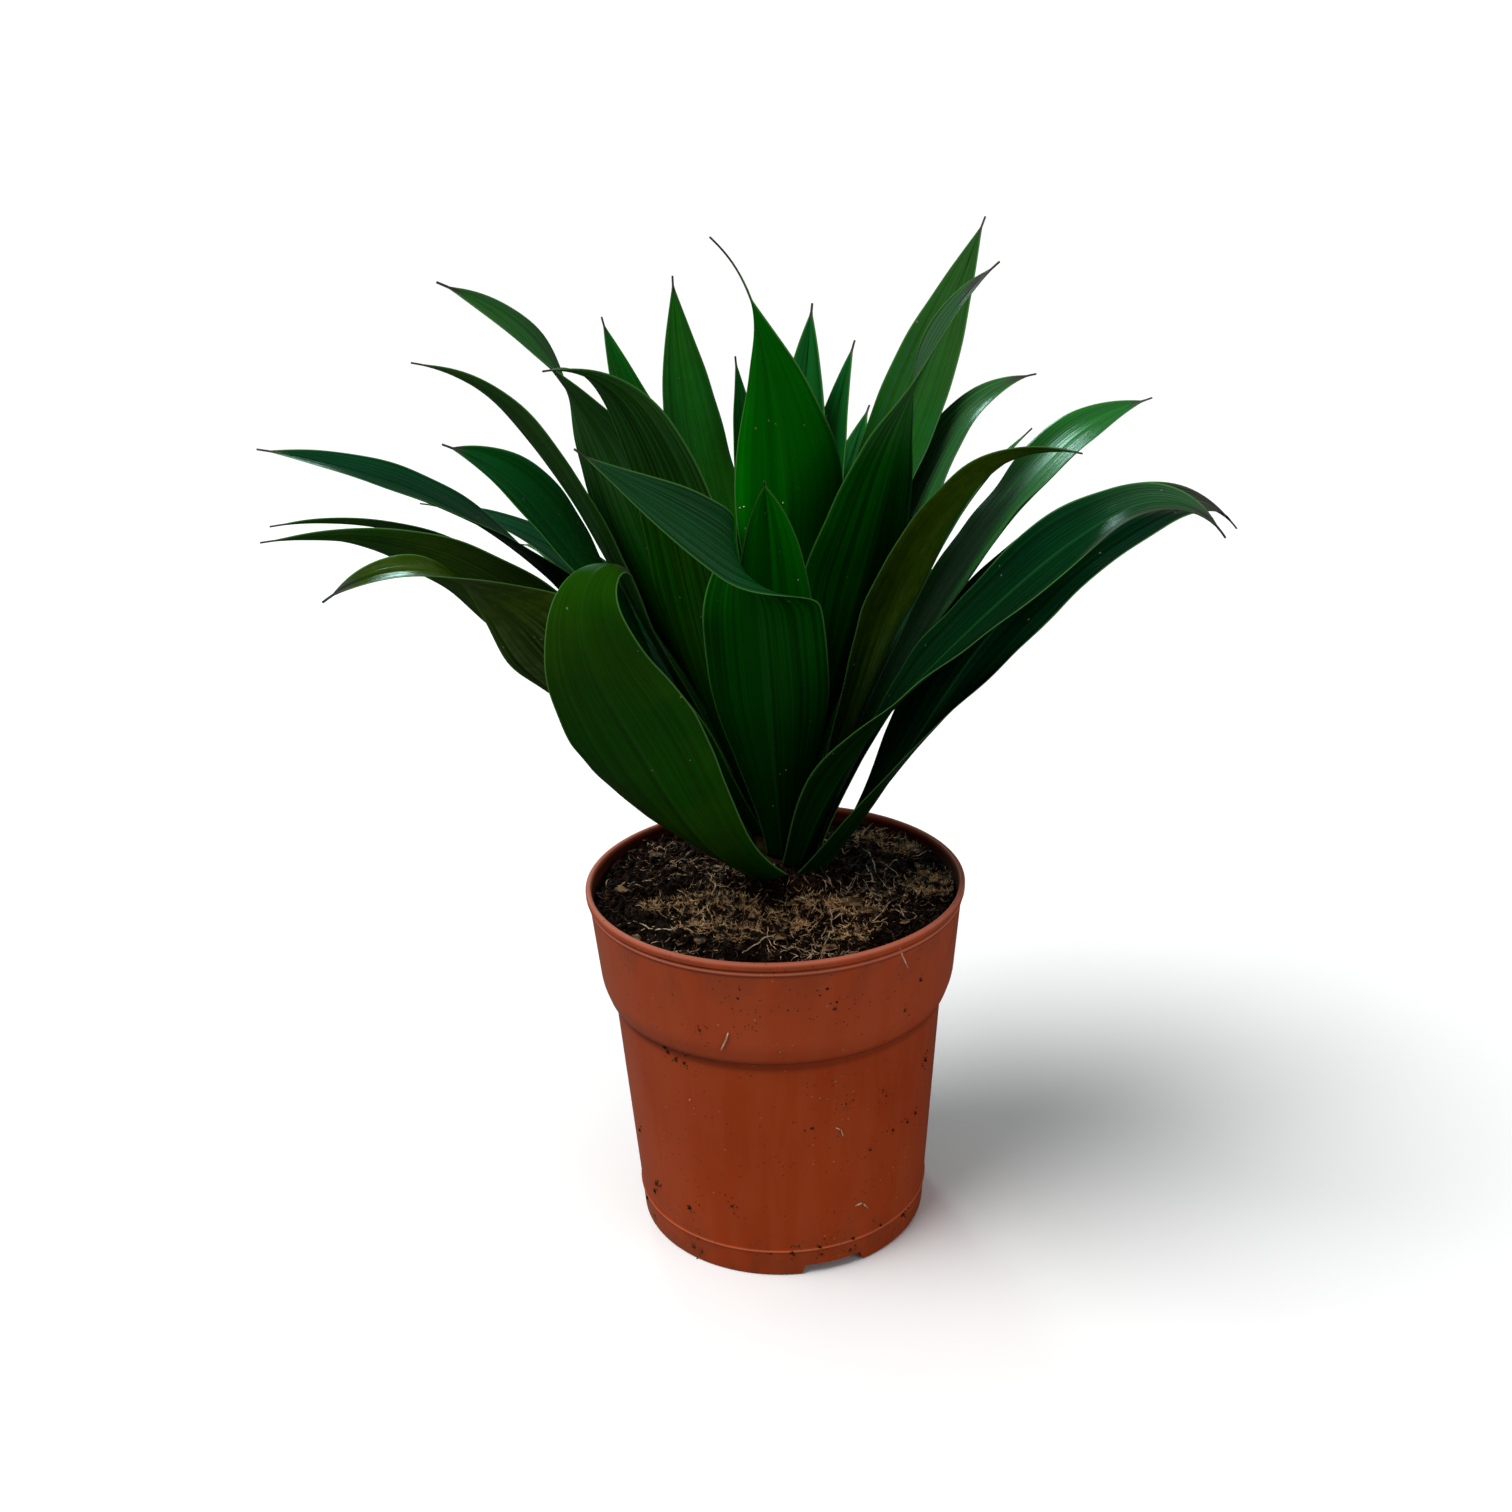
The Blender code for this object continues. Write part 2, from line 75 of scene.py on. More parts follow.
def camera_axes():
    """The camera's right, up and forward directions."""
    level = math.cos(CAMERA_PITCH)
    sideways, ahead = math.sin(CAMERA_YAW), math.cos(CAMERA_YAW)
    forward = Vector((sideways * level, ahead * level, -math.sin(CAMERA_PITCH)))
    right = Vector((ahead, -sideways, 0.0))
    up = right.cross(forward)
    turn, hold = math.sin(CAMERA_ROLL), math.cos(CAMERA_ROLL)
    return hold * right + turn * up, hold * up - turn * right, forward


def add_camera():
    right, up, forward = camera_axes()
    data = bpy.data.cameras.new("camera")
    data.sensor_width = SENSOR_WIDTH
    data.lens = SENSOR_WIDTH * FOCAL_PIXELS / PICTURE_SIDE
    data.clip_start = NEAREST_SEEN
    camera = bpy.data.objects.new("camera", data)
    turned = Matrix((right, up, -forward)).transposed().to_4x4()
    camera.matrix_world = Matrix.Translation(CAMERA_PLACE) @ turned
    bpy.context.scene.collection.objects.link(camera)
    bpy.context.scene.camera = camera
    return camera


print("lens:", round(add_camera().data.lens, 2), "mm")

# %% [markdown]
# Small marks are easiest to place from the picture itself. A ray from the camera through a pixel
# of the photograph meets the pot or the soil at the very place where the mark was seen.

# %% A ray through a pixel
RAY_START = 0.25
RAY_STEP = 0.0001
RAY_STEPS = 4000
SOIL_PIXEL = (756, 900)
SOIL_LEVEL = 114 * MM


def pixel_ray(x, y):
    """The direction of the ray through a pixel of the square picture."""
    right, up, forward = camera_axes()
    half = PICTURE_SIDE / 2
    return (forward + right * ((x - half) / FOCAL_PIXELS) + up * ((half - y) / FOCAL_PIXELS)).normalized()


def seen_on_level(x, y, z):
    """Where the ray meets a level plane."""
    ray = pixel_ray(x, y)
    return CAMERA_PLACE + ray * ((z - CAMERA_PLACE.z) / ray.z)


def seen_on_turned(x, y, radius_at):
    """Where the ray first meets a turned wall whose radius depends on the height."""
    ray = pixel_ray(x, y)
    place = CAMERA_PLACE + ray * RAY_START
    for _ in range(RAY_STEPS):
        if math.hypot(place.x, place.y) <= radius_at(place.z):
            return place
        place = place + ray * RAY_STEP
    return None


print("a pixel's place on the soil:", seen_on_level(*SOIL_PIXEL, SOIL_LEVEL))

# %% [markdown]
# ## Small helpers for nodes
# Every finish below is a handful of texture nodes that end in one shader. A helper that makes a
# node, fills its sockets and hands it back keeps each finish down to the lines that matter.
# Effects that several finishes share are node groups, built once.

# %% Node helpers


def plug(tree, socket, value):
    """Links another node's output, or sets a plain number or colour."""
    if isinstance(value, bpy.types.NodeSocket):
        tree.links.new(value, socket)
    else:
        socket.default_value = value


def node(tree, kind, inputs=None, **settings):
    """Makes a node. An input may be a number, a colour or another node's output."""
    made = tree.nodes.new(kind)
    for key, value in settings.items():
        setattr(made, key, value)
    for key, value in (inputs or {}).items():
        plug(tree, made.inputs[key], value)
    return made


def maths(tree, operation, first, second=0.0):
    return node(tree, "ShaderNodeMath", {0: first, 1: second}, operation=operation).outputs[0]


def times(tree, first, second):
    return maths(tree, "MULTIPLY", first, second)


def plus(tree, first, second):
    return maths(tree, "ADD", first, second)


def minus(tree, first, second):
    return maths(tree, "SUBTRACT", first, second)


def between(tree, value, low, high):
    """0 where value is at low, 1 where it is at high, smooth between."""
    inputs = {0: value, 1: low, 2: high}
    return node(tree, "ShaderNodeMapRange", inputs, interpolation_type="SMOOTHSTEP").outputs[0]


def grain(tree, place, scale, detail=2.0):
    """Soft noise, finer with a greater scale."""
    inputs = {"Vector": place, "Scale": scale, "Detail": detail}
    return node(tree, "ShaderNodeTexNoise", inputs).outputs[0]


def own_place(tree):
    """The point's place in the object's own metres."""
    return node(tree, "ShaderNodeTexCoord").outputs["Object"]


def axes_of(tree, place):
    return node(tree, "ShaderNodeSeparateXYZ", {0: place}).outputs


# %% [markdown]
# Colours are built up the way a painter does it: a ground first, then thin layers, each held back
# by a mask. So one helper mixes two colours, and another lays a paint over what is there.

# %% Colour helpers


def blend(tree, share, first, second, mode="MIX"):
    """Mixes two colours. Each is three numbers or another node's output."""
    made = node(tree, "ShaderNodeMix", {0: share}, data_type="RGBA", blend_type=mode)
    for slot, value in ((6, first), (7, second)):
        plug(tree, made.inputs[slot], (*value, 1) if isinstance(value, tuple) else value)
    return made.outputs[2]


def tint(tree, colour, mask, share, paint):
    """Lays a share of a paint over a colour where the mask is white."""
    return blend(tree, times(tree, mask, share), colour, paint)


def new_finish(name, **plain):
    """A material with one Principled shader. Plain values go on the shader's own sockets."""
    material = bpy.data.materials.new(name)
    material.use_nodes = True
    shader = material.node_tree.nodes["Principled BSDF"]
    for key, value in plain.items():
        shader.inputs[key.replace("_", " ")].default_value = value
    return material, material.node_tree, shader


def close_finish(tree, shader, colour, rough, height, strength, depth):
    """Joins the colour, the roughness and a bump of a given depth to the shader."""
    bump = node(tree, "ShaderNodeBump", {"Height": height, "Strength": strength, "Distance": depth})
    for label, source in (("Base Color", colour), ("Roughness", rough), ("Normal", bump.outputs[0])):
        tree.links.new(source, shader.inputs[label])


def new_group(name, inputs, outputs):
    """A shader node group with float or vector sockets. Gives the tree and its two end nodes."""
    tree = bpy.data.node_groups.new(name, "ShaderNodeTree")
    for label, default in inputs:
        kind = "NodeSocketVector" if default is None else "NodeSocketFloat"
        socket = tree.interface.new_socket(label, in_out="INPUT", socket_type=kind)
        if default is not None:
            socket.default_value = default
    for label in outputs:
        tree.interface.new_socket(label, in_out="OUTPUT", socket_type="NodeSocketFloat")
    return tree, tree.nodes.new("NodeGroupInput"), tree.nodes.new("NodeGroupOutput")


def use_group(tree, group, inputs):
    return node(tree, "ShaderNodeGroup", inputs, node_tree=group).outputs


# %% [markdown]
# ## Floor and light
# The plant was shot indoors and cut out on white. So the ground should look white to the camera
# and still take a soft shadow, yet it must not flood the plant with white light. The **Light
# Path** node settles both: the sky and the floor are pale when the camera looks at them, darker
# when they light the plant, and darker still when a glossy leaf mirrors them.

# %% Floor and sky
FLOOR_SIDE = 16.0
FLOOR_DROP = 0.2 * MM
FLOOR_SEEN = 0.97
FLOOR_BOUNCE = 0.34
FLOOR_GLOSS = 0.05
FLOOR_ROUGH = 0.9
SKY_COLOUR = (0.97, 0.98, 1.0, 1)
SKY_SEEN = 1.1
SKY_DIFFUSE = 0.23
SKY_GLOSS = 0.055


def by_ray(tree, ray, value, otherwise):
    """One value for rays of a kind, and another value or output for all the rest."""
    kind = node(tree, "ShaderNodeLightPath").outputs[ray]
    inputs = {"Value": kind, "To Min": otherwise, "To Max": value}
    return node(tree, "ShaderNodeMapRange", inputs).outputs[0]


def paper_finish():
    """White to the camera, darker to every other ray."""
    paper, tree, shader = new_finish("pale_paper", Roughness=FLOOR_ROUGH, Specular_IOR_Level=0.0)
    shade = by_ray(tree, "Is Camera Ray", FLOOR_SEEN, FLOOR_BOUNCE)
    shade = by_ray(tree, "Is Glossy Ray", FLOOR_GLOSS, shade)
    tree.links.new(shade, shader.inputs["Base Color"])
    return paper


def add_floor():
    mesh = bpy.data.meshes.new("floor")
    half = FLOOR_SIDE / 2
    corners = [(-half, -half, 0), (half, -half, 0), (half, half, 0), (-half, half, 0)]
    mesh.from_pydata(corners, [], [(0, 1, 2, 3)])
    mesh.materials.append(paper_finish())
    floor = bpy.data.objects.new("floor", mesh)
    floor.location.z = -FLOOR_DROP
    bpy.context.scene.collection.objects.link(floor)
    return floor


def add_sky():
    """One strength for the camera, one for diffuse light, one for reflections."""
    world = bpy.data.worlds.new("pale_sky")
    world.use_nodes = True
    tree = world.node_tree
    background = tree.nodes["Background"]
    background.inputs["Color"].default_value = SKY_COLOUR
    strength = by_ray(tree, "Is Diffuse Ray", SKY_DIFFUSE, SKY_GLOSS)
    strength = by_ray(tree, "Is Camera Ray", SKY_SEEN, strength)
    tree.links.new(strength, background.inputs["Strength"])
    bpy.context.scene.world = world
    return world


print("stage:", add_floor().name, add_sky().name)

# %% [markdown]
# ## Lamps
# The shadow is soft and lies to the right, so the main light is a wide sun from the upper left. A
# small panel behind the plant draws narrow cool streaks on the arching leaves, and a large one at
# the front right lifts their shaded side. The sun and the large panel are kept out of
# reflections, because a broad light that is mirrored in a dark leaf turns it grey.

# %% Lamps
SUN_STRENGTH = 3.0
SUN_SIZE = math.radians(42)
SUN_COLOUR = (1.0, 0.995, 0.985)
SUN_PLACE = (-0.80, -0.35, 1.6)
PANEL_AIM = (0, 0, 0.2)


def aim_lamp(data, name, place, aim):
    lamp = bpy.data.objects.new(name, data)
    lamp.location = place
    lamp.rotation_euler = (Vector(aim) - Vector(place)).to_track_quat("-Z", "Y").to_euler()
    bpy.context.scene.collection.objects.link(lamp)
    return lamp


def add_sun():
    data = bpy.data.lights.new("sun", "SUN")
    data.energy = SUN_STRENGTH
    data.angle = SUN_SIZE
    data.color = SUN_COLOUR
    return aim_lamp(data, "sun", SUN_PLACE, (0, 0, 0))


def add_panel(name, place, size, power, colour):
    """A square soft box that faces the plant and stays out of the picture."""
    data = bpy.data.lights.new(name, "AREA")
    data.shape = "SQUARE"
    data.size = size
    data.energy = power
    data.color = colour
    panel = aim_lamp(data, name, place, PANEL_AIM)
    panel.visible_camera = False
    return panel


add_sun().visible_glossy = False
add_panel("sheen", (-0.35, 1.15, 0.75), size=0.22, power=2.4, colour=(0.62, 0.95, 0.92))
fill = add_panel("fill", (1.0, -0.85, 0.22), size=0.8, power=5.0, colour=(1.0, 0.98, 0.96))
fill.visible_glossy = False
bpy.context.scene.view_settings.view_transform = "Standard"
print("lamps:", len(bpy.data.lights))

# %% [markdown]
# ## Shared effects
# **Mottle** is the slow change of tone that every grown or moulded surface has. It is soft noise
# with its contrast raised. It reads the object's own metres, so one millimetre on the pot is one
# millimetre on a leaf.

# %% Mottle group


def build_mottle():
    sockets = [("Place", None), ("Scale", 40.0), ("Sharp", 0.5)]
    tree, given, result = new_group("mottle", sockets, ["Mask"])
    place, scale, sharp = given.outputs[:3]
    low = times(tree, sharp, 0.5)
    mask = between(tree, grain(tree, place, scale, detail=5.0), low, minus(tree, 1.0, low))
    tree.links.new(mask, result.inputs[0])
    return tree


def mottle(tree, place, scale, sharp):
    return use_group(tree, MOTTLE, {"Place": place, "Scale": scale, "Sharp": sharp})[0]


MOTTLE = build_mottle()
print("group:", MOTTLE.name, "nodes:", len(MOTTLE.nodes))

# %% [markdown]
# **Specks** are small separate spots: dust, dirt or pores. A cell pattern gives every cell a
# random colour and a distance from its middle. The colour decides which cells get a spot, and the
# distance draws it round.

# %% Speck group
SPOT_EDGE = 0.08


def build_specks():
    sockets = [("Place", None), ("Scale", 300.0), ("Size", 0.25), ("Share", 0.2)]
    tree, given, result = new_group("specks", sockets, ["Mask"])
    place, scale, size, share = given.outputs[:4]
    cells = node(tree, "ShaderNodeTexVoronoi", {"Vector": place, "Scale": scale})
    chance = node(tree, "ShaderNodeSeparateColor", {0: cells.outputs["Color"]}).outputs[0]
    chosen = maths(tree, "LESS_THAN", chance, share)
    spot = minus(tree, times(tree, size, chosen), cells.outputs["Distance"])
    tree.links.new(between(tree, spot, 0.0, SPOT_EDGE), result.inputs[0])
    return tree


def specks(tree, place, scale, size, share):
    inputs = {"Place": place, "Scale": scale, "Size": size, "Share": share}
    return use_group(tree, SPECKS, inputs)[0]


SPECKS = build_specks()
print("group:", SPECKS.name, "nodes:", len(SPECKS.nodes))

# %% [markdown]
# ## The pot
# A nursery pot is thin plastic drawn over a plug. Its section is one line: a bead at the rim, a
# tapered collar, a soft shoulder, a long tapered body and a foot ring. Turning that line gives the
# whole pot, so the section is worth drawing well. Each corner gets a small arc, because the
# light on a moulded edge is what tells the eye that it is plastic.

# %% Pot section
POT_LOW, POT_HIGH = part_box("pot")
RIM_RADIUS = (POT_HIGH[0] - POT_LOW[0]) / 2
POT_HEIGHT = POT_HIGH[2] - POT_LOW[2]
WALL = 1.2 * MM
COLLAR_HEIGHT = 32.0 * MM
COLLAR_RADIUS = 56.5 * MM
BODY_TOP_RADIUS = 52.8 * MM
FOOT_RADIUS = 47.0 * MM
SHOULDER = 4.5 * MM
FOOT_RING = 3.6 * MM
FOOT_RING_WIDTH = 4.0 * MM
RIDGE_Z = 9.3 * MM
BEAD = 1.1 * MM
ARC_STEPS = 5
ARC_LIMIT = 0.45


def rounded(corners):
    """Points along a line of (radius, z, fillet) corners, with an arc at each inner corner."""
    points = [Vector(corners[0][:2])]
    for before, here, after in zip(corners, corners[1:], corners[2:]):
        corner = Vector(here[:2])
        back = Vector(before[:2]) - corner
        on = Vector(after[:2]) - corner
        reach = min(here[2], back.length * ARC_LIMIT, on.length * ARC_LIMIT)
        first = corner + back.normalized() * reach
        last = corner + on.normalized() * reach
        for i in range(ARC_STEPS + 1):
            s = i / ARC_STEPS
            points.append((1 - s) ** 2 * first + 2 * s * (1 - s) * corner + s * s * last)
    points.append(Vector(corners[-1][:2]))
    return points


def pot_section():
    """Foot to rim on the outside, then rim to base plate on the inside."""
    collar = POT_HEIGHT - COLLAR_HEIGHT
    shoulder = collar - SHOULDER
    taper = (BODY_TOP_RADIUS - FOOT_RADIUS) / shoulder
    ridge = FOOT_RADIUS + taper * RIDGE_Z
    wall = RIM_RADIUS - BEAD
    outside = [
        (FOOT_RADIUS - FOOT_RING_WIDTH, FOOT_RING, 0), (FOOT_RADIUS - FOOT_RING_WIDTH, 0, 0.3 * MM),
        (FOOT_RADIUS, 0, 0.5 * MM), (ridge, RIDGE_Z - 0.5 * MM, 0.1 * MM),
        (ridge + 0.4 * MM, RIDGE_Z, 0.15 * MM), (ridge, RIDGE_Z + 0.6 * MM, 0.2 * MM),
        (BODY_TOP_RADIUS, shoulder + 0.3 * MM, 0.15 * MM),
        (BODY_TOP_RADIUS + 1.5 * MM, shoulder + 0.2 * MM, 0.15 * MM),
        (BODY_TOP_RADIUS + 2.0 * MM, shoulder + 1.2 * MM, 0.6 * MM),
        (COLLAR_RADIUS, collar + 1.6 * MM, 2.4 * MM), (wall, POT_HEIGHT - 4.6 * MM, 0.4 * MM),
        (wall + 0.5 * MM, POT_HEIGHT - 4.0 * MM, 0.3 * MM),
        (wall + 0.5 * MM, POT_HEIGHT - 3.2 * MM, 0.3 * MM),
        (wall, POT_HEIGHT - 2.7 * MM, 0.15 * MM), (RIM_RADIUS - 0.1 * MM, POT_HEIGHT - 2.3 * MM, 0.4 * MM),
        (RIM_RADIUS, POT_HEIGHT, 0.7 * MM), (RIM_RADIUS - 1.7 * MM, POT_HEIGHT, 0.5 * MM),
    ]
    inside = [
        (wall - WALL, POT_HEIGHT - 3 * MM, 0.8 * MM), (COLLAR_RADIUS - WALL, collar + 2.4 * MM, 1.5 * MM),
        (BODY_TOP_RADIUS - WALL, shoulder, 1.5 * MM), (FOOT_RADIUS - WALL, FOOT_RING + WALL, 1.0 * MM),
        (0.0, FOOT_RING + WALL, 0),
    ]
    return rounded(outside + inside)


print("pot section points:", len(pot_section()))

# %% [markdown]
# ## Turning and carving
# The section could be swept with a screw modifier. Here it is swept by a short function, because
# the cane is turned the same way later. The drain holes and the notches in the foot ring
# are cut out afterwards with a boolean, as a maker would drill and file them.

# %% Turn the pot
POT_SIDES = 160


def link_mesh(name, points, faces, finishes):
    """An object from points and faces, smooth, with its finishes in order."""
    mesh = bpy.data.meshes.new(name)
    mesh.from_pydata(points, [], faces)
    for finish in finishes:
        mesh.materials.append(finish)
    mesh.shade_smooth()
    piece = bpy.data.objects.new(name, mesh)
    bpy.context.scene.collection.objects.link(piece)
    return piece


def finish_piece(piece):
    """Lets a piece move with the plant."""
    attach(piece, "root")
    return piece


def outward(piece, weld=None):
    """Turns every face outward, once points closer than the weld distance are joined."""
    work = bmesh.new()
    work.from_mesh(piece.data)
    if weld:
        bmesh.ops.remove_doubles(work, verts=work.verts, dist=weld)
    bmesh.ops.recalc_face_normals(work, faces=work.faces)
    work.to_mesh(piece.data)
    work.free()


def turn_section(section, sides):
    """Sweeps a section that starts and ends inside round the Z axis, closed by two discs."""
    count = len(section)
    points = []
    for i in range(sides):
        angle = 2 * math.pi * i / sides
        points += [(p.x * math.cos(angle), p.x * math.sin(angle), p.y) for p in section]
    faces = []
    for i in range(sides):
        here, there = i * count, (i + 1) % sides * count
        faces += [(here + j, there + j, there + j + 1, here + j + 1) for j in range(count - 1)]
    faces.append(tuple(i * count + count - 1 for i in range(sides)))
    faces.append(tuple(i * count for i in reversed(range(sides))))
    return points, faces


print("points of the turned pot:", POT_SIDES * len(pot_section()))

# %% Carve the pot
NOTCHES = 3
NOTCH_FIRST = math.radians(289)
NOTCH_WIDTH = 21.0 * MM
NOTCH_SLOPE = 0.12
DRAIN_HOLES = 6
DRAIN_RADIUS = 4.0 * MM
DRAIN_CIRCLE = 31.0 * MM
DRAIN_SIDES = 32


def cutter_from(work, place, angle=0.0):
    mesh = bpy.data.meshes.new("cutter")
    work.to_mesh(mesh)
    work.free()
    cutter = bpy.data.objects.new("cutter", mesh)
    cutter.location = place
    cutter.rotation_euler.z = angle
    return cutter


def pot_cutters():
    """Wedges that open the foot ring, and rods that bore the base plate."""
    cutters = []
    for i in range(NOTCHES):
        work = bmesh.new()
        bmesh.ops.create_cube(work, size=1.0)
        for vert in work.verts:
            above = vert.co.z > 0
            vert.co.x = FOOT_RADIUS - FOOT_RING_WIDTH / 2 + vert.co.x * (FOOT_RING_WIDTH + 4 * MM)
            vert.co.y *= NOTCH_WIDTH * (1 - NOTCH_SLOPE if above else 1 + NOTCH_SLOPE)
            vert.co.z = FOOT_RING - 0.3 * MM if above else -4 * MM
        cutters.append(cutter_from(work, (0, 0, 0), NOTCH_FIRST + 2 * math.pi * i / NOTCHES))
    for i in range(DRAIN_HOLES + 1):
        work = bmesh.new()
        bmesh.ops.create_cone(
            work, cap_ends=True, segments=DRAIN_SIDES, depth=6 * WALL,
            radius1=DRAIN_RADIUS, radius2=DRAIN_RADIUS,
        )
        ring = DRAIN_CIRCLE if i < DRAIN_HOLES else 0.0
        angle = 2 * math.pi * i / DRAIN_HOLES
        place = (ring * math.cos(angle), ring * math.sin(angle), FOOT_RING + WALL / 2)
        cutters.append(cutter_from(work, place))
    return cutters


def carve(target, cutters):
    """Takes the cutters out of the target."""
    holder = bpy.data.collections.new("cutters")
    bpy.context.scene.collection.children.link(holder)
    for cutter in cutters:
        holder.objects.link(cutter)
    change = target.modifiers.new("carve", "BOOLEAN")
    change.operand_type = "COLLECTION"
    change.collection = holder
    bpy.context.view_layer.update()
    graph = bpy.context.evaluated_depsgraph_get()
    carved = bpy.data.meshes.new_from_object(target.evaluated_get(graph))
    target.modifiers.clear()
    target.data = carved
    for cutter in cutters:
        bpy.data.objects.remove(cutter, do_unlink=True)
    bpy.data.collections.remove(holder)


print("cutters to use:", NOTCHES + DRAIN_HOLES + 1)

# %% [markdown]
# ## The pot's plastic
# Terracotta-coloured polypropylene is a satin, slightly waxy plastic. Up close it is not one
# colour: peat dust dulls it near the rim and foot, and water leaves faint runs. A painted highlight
# lies along the top of the rim, and painted shade with some peat stain darkens the inside of the
# wall above the soil. The colour, roughness and bump all read the same masks, so they agree. The
# bead, the shoulder and the ridge get thin painted lines of shade and highlight, each given by its
# height, its half width, its strength and its colour.

# %% Pot finish
COLLAR_Z = POT_HEIGHT - COLLAR_HEIGHT
SHOULDER_Z = COLLAR_Z - SHOULDER
CLAY_DEEP = (0.335, 0.037, 0.0030)
CLAY_BRIGHT = (0.390, 0.049, 0.0055)
CLAY_COLLAR = (0.40, 0.064, 0.020)
RIM_PAINTED_HIGHLIGHT = (0.55, 0.165, 0.10)
INSIDE_WALL_SHADE_AND_STAIN = (0.045, 0.005, 0.004)
WATER_RUN = (0.46, 0.12, 0.05)
PEAT_DUST = (0.15, 0.045, 0.018)
PEAT_SPECK = (0.06, 0.022, 0.008)
PALE_SPECK = (0.55, 0.25, 0.14)
# Painted shade: a soft band and a dark line under the collar, and lines in the grooves above and below the
# rim's bead. Painted highlight: a line on the bead and one on the ridge near the foot.
POT_SHADE_AND_HIGHLIGHT_LINES = [
    (SHOULDER_Z - 0.8 * MM, 3.4 * MM, 0.50, (0.150, 0.018, 0.003)),
    (SHOULDER_Z, 0.8 * MM, 0.75, (0.055, 0.006, 0.002)),
    (POT_HEIGHT - 2.5 * MM, 0.35 * MM, 0.8, (0.10, 0.018, 0.010)),
    (POT_HEIGHT - 3.6 * MM, 0.5 * MM, 0.6, (0.60, 0.20, 0.13)),
    (POT_HEIGHT - 4.7 * MM, 0.4 * MM, 0.5, (0.14, 0.025, 0.012)),
    (RIDGE_Z, 0.45 * MM, 0.45, (0.62, 0.20, 0.11)),
]


def inner_wall(tree, place, z):
    """A mask, white on the inside of the wall below the rim, where painted shade and peat stain go."""
    flat = node(tree, "ShaderNodeVectorMath", {0: place, 1: (1, 1, 0)}, operation="MULTIPLY").outputs[0]
    radius = node(tree, "ShaderNodeVectorMath", {0: flat}, operation="LENGTH").outputs["Value"]
    inside = between(tree, radius, RIM_RADIUS - 1.8 * MM, RIM_RADIUS - 2.1 * MM)
    return times(tree, inside, between(tree, z, POT_HEIGHT - 8 * MM, POT_HEIGHT - 7 * MM))


def pot_finish():
    material, tree, shader = new_finish(
        "pot_plastic_satin", Specular_IOR_Level=0.10, Sheen_Weight=0.08, Sheen_Roughness=0.45,
        Sheen_Tint=(1.0, 0.82, 0.66, 1.0),
    )
    place = own_place(tree)
    z = axes_of(tree, place)[2]
    cloud = mottle(tree, place, scale=24.0, sharp=0.5)
    colour = blend(tree, cloud, CLAY_DEEP, CLAY_BRIGHT)
    high = between(tree, z, COLLAR_Z - 4 * MM, COLLAR_Z + 3 * MM)
    colour = tint(tree, colour, high, 0.55, CLAY_COLLAR)
    runs_place = node(tree, "ShaderNodeMapping", {0: place, "Scale": (1.0, 1.0, 0.14)}).outputs[0]
    colour = tint(tree, colour, mottle(tree, runs_place, scale=150.0, sharp=0.8), 0.10, WATER_RUN)
    # A painted highlight along the top of the rim.
    rim = between(tree, z, POT_HEIGHT - 1.4 * MM, POT_HEIGHT - 0.3 * MM)
    colour = tint(tree, colour, rim, 0.7, RIM_PAINTED_HIGHLIGHT)
    near_foot = between(tree, z, 24 * MM, 4 * MM)
    under_rim = between(tree, z, POT_HEIGHT - 22 * MM, POT_HEIGHT - 3 * MM)
    dusty = maths(tree, "MAXIMUM", near_foot, minus(tree, under_rim, rim))
    grime = mottle(tree, place, scale=85.0, sharp=0.9)
    dust = times(tree, times(tree, dusty, grime), 0.28)
    colour = blend(tree, dust, colour, PEAT_DUST)
    dirty = between(tree, grime, 0.2, 0.7)
    fine = times(tree, specks(tree, place, scale=900.0, size=0.34, share=0.13), dirty)
    colour = tint(tree, colour, fine, 0.6, PEAT_SPECK)
    pale = specks(tree, place, scale=640.0, size=0.22, share=0.02)
    colour = tint(tree, colour, pale, 0.5, PALE_SPECK)
    # Each line is painted shade or a painted highlight, laid by its distance from its height.
    for line, reach, share, paint in POT_SHADE_AND_HIGHLIGHT_LINES:
        away = maths(tree, "ABSOLUTE", minus(tree, z, line))
        colour = tint(tree, colour, between(tree, away, reach, reach * 0.4), share, paint)
    # Painted shade, with some peat stain, darkens the inside of the wall above the soil.
    colour = tint(tree, colour, inner_wall(tree, place, z), 0.9, INSIDE_WALL_SHADE_AND_STAIN)
    rough = plus(tree, times(tree, cloud, 0.08), 0.36)
    rough = plus(tree, rough, times(tree, dust, 0.6))
    scuffs = times(tree, grain(tree, runs_place, 900.0), 0.2)
    height = plus(tree, scuffs, plus(tree, fine, pale))
    close_finish(tree, shader, colour, rough, height, strength=0.25, depth=0.15 * MM)
    return material


print("painted lines on the pot:", len(POT_SHADE_AND_HIGHLIGHT_LINES))

# %% [markdown]
# ## Building the pot
# The finished pot takes the place of the plain one. Edges that turn by more than 50 degrees are
# shaded sharp, so the rim and the foot stay crisp while the wall stays smooth.

# %% Build the pot
SHARP_ANGLE = math.radians(50)


def build_pot():
    points, faces = turn_section(pot_section(), POT_SIDES)
    pot = link_mesh("nursery_pot", points, faces, [pot_finish()])
    outward(pot)
    carve(pot, pot_cutters())
    pot.data.shade_smooth()
    pot.data.set_sharp_from_angle(angle=SHARP_ANGLE)
    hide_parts("pot")
    return finish_piece(pot)


print("pot faces:", len(build_pot().data.polygons))

# %% [markdown]
# ## The bed of peat
# Peat is crumbs and fibres of every size. A smooth disc with a bump map never looks like it,
# because the crumbs throw shadows and break the line where soil meets pot. So the bed's top is a
# fine mesh raised by layers of noise, and loose crumbs, fibres and chips lie on it as real pieces.

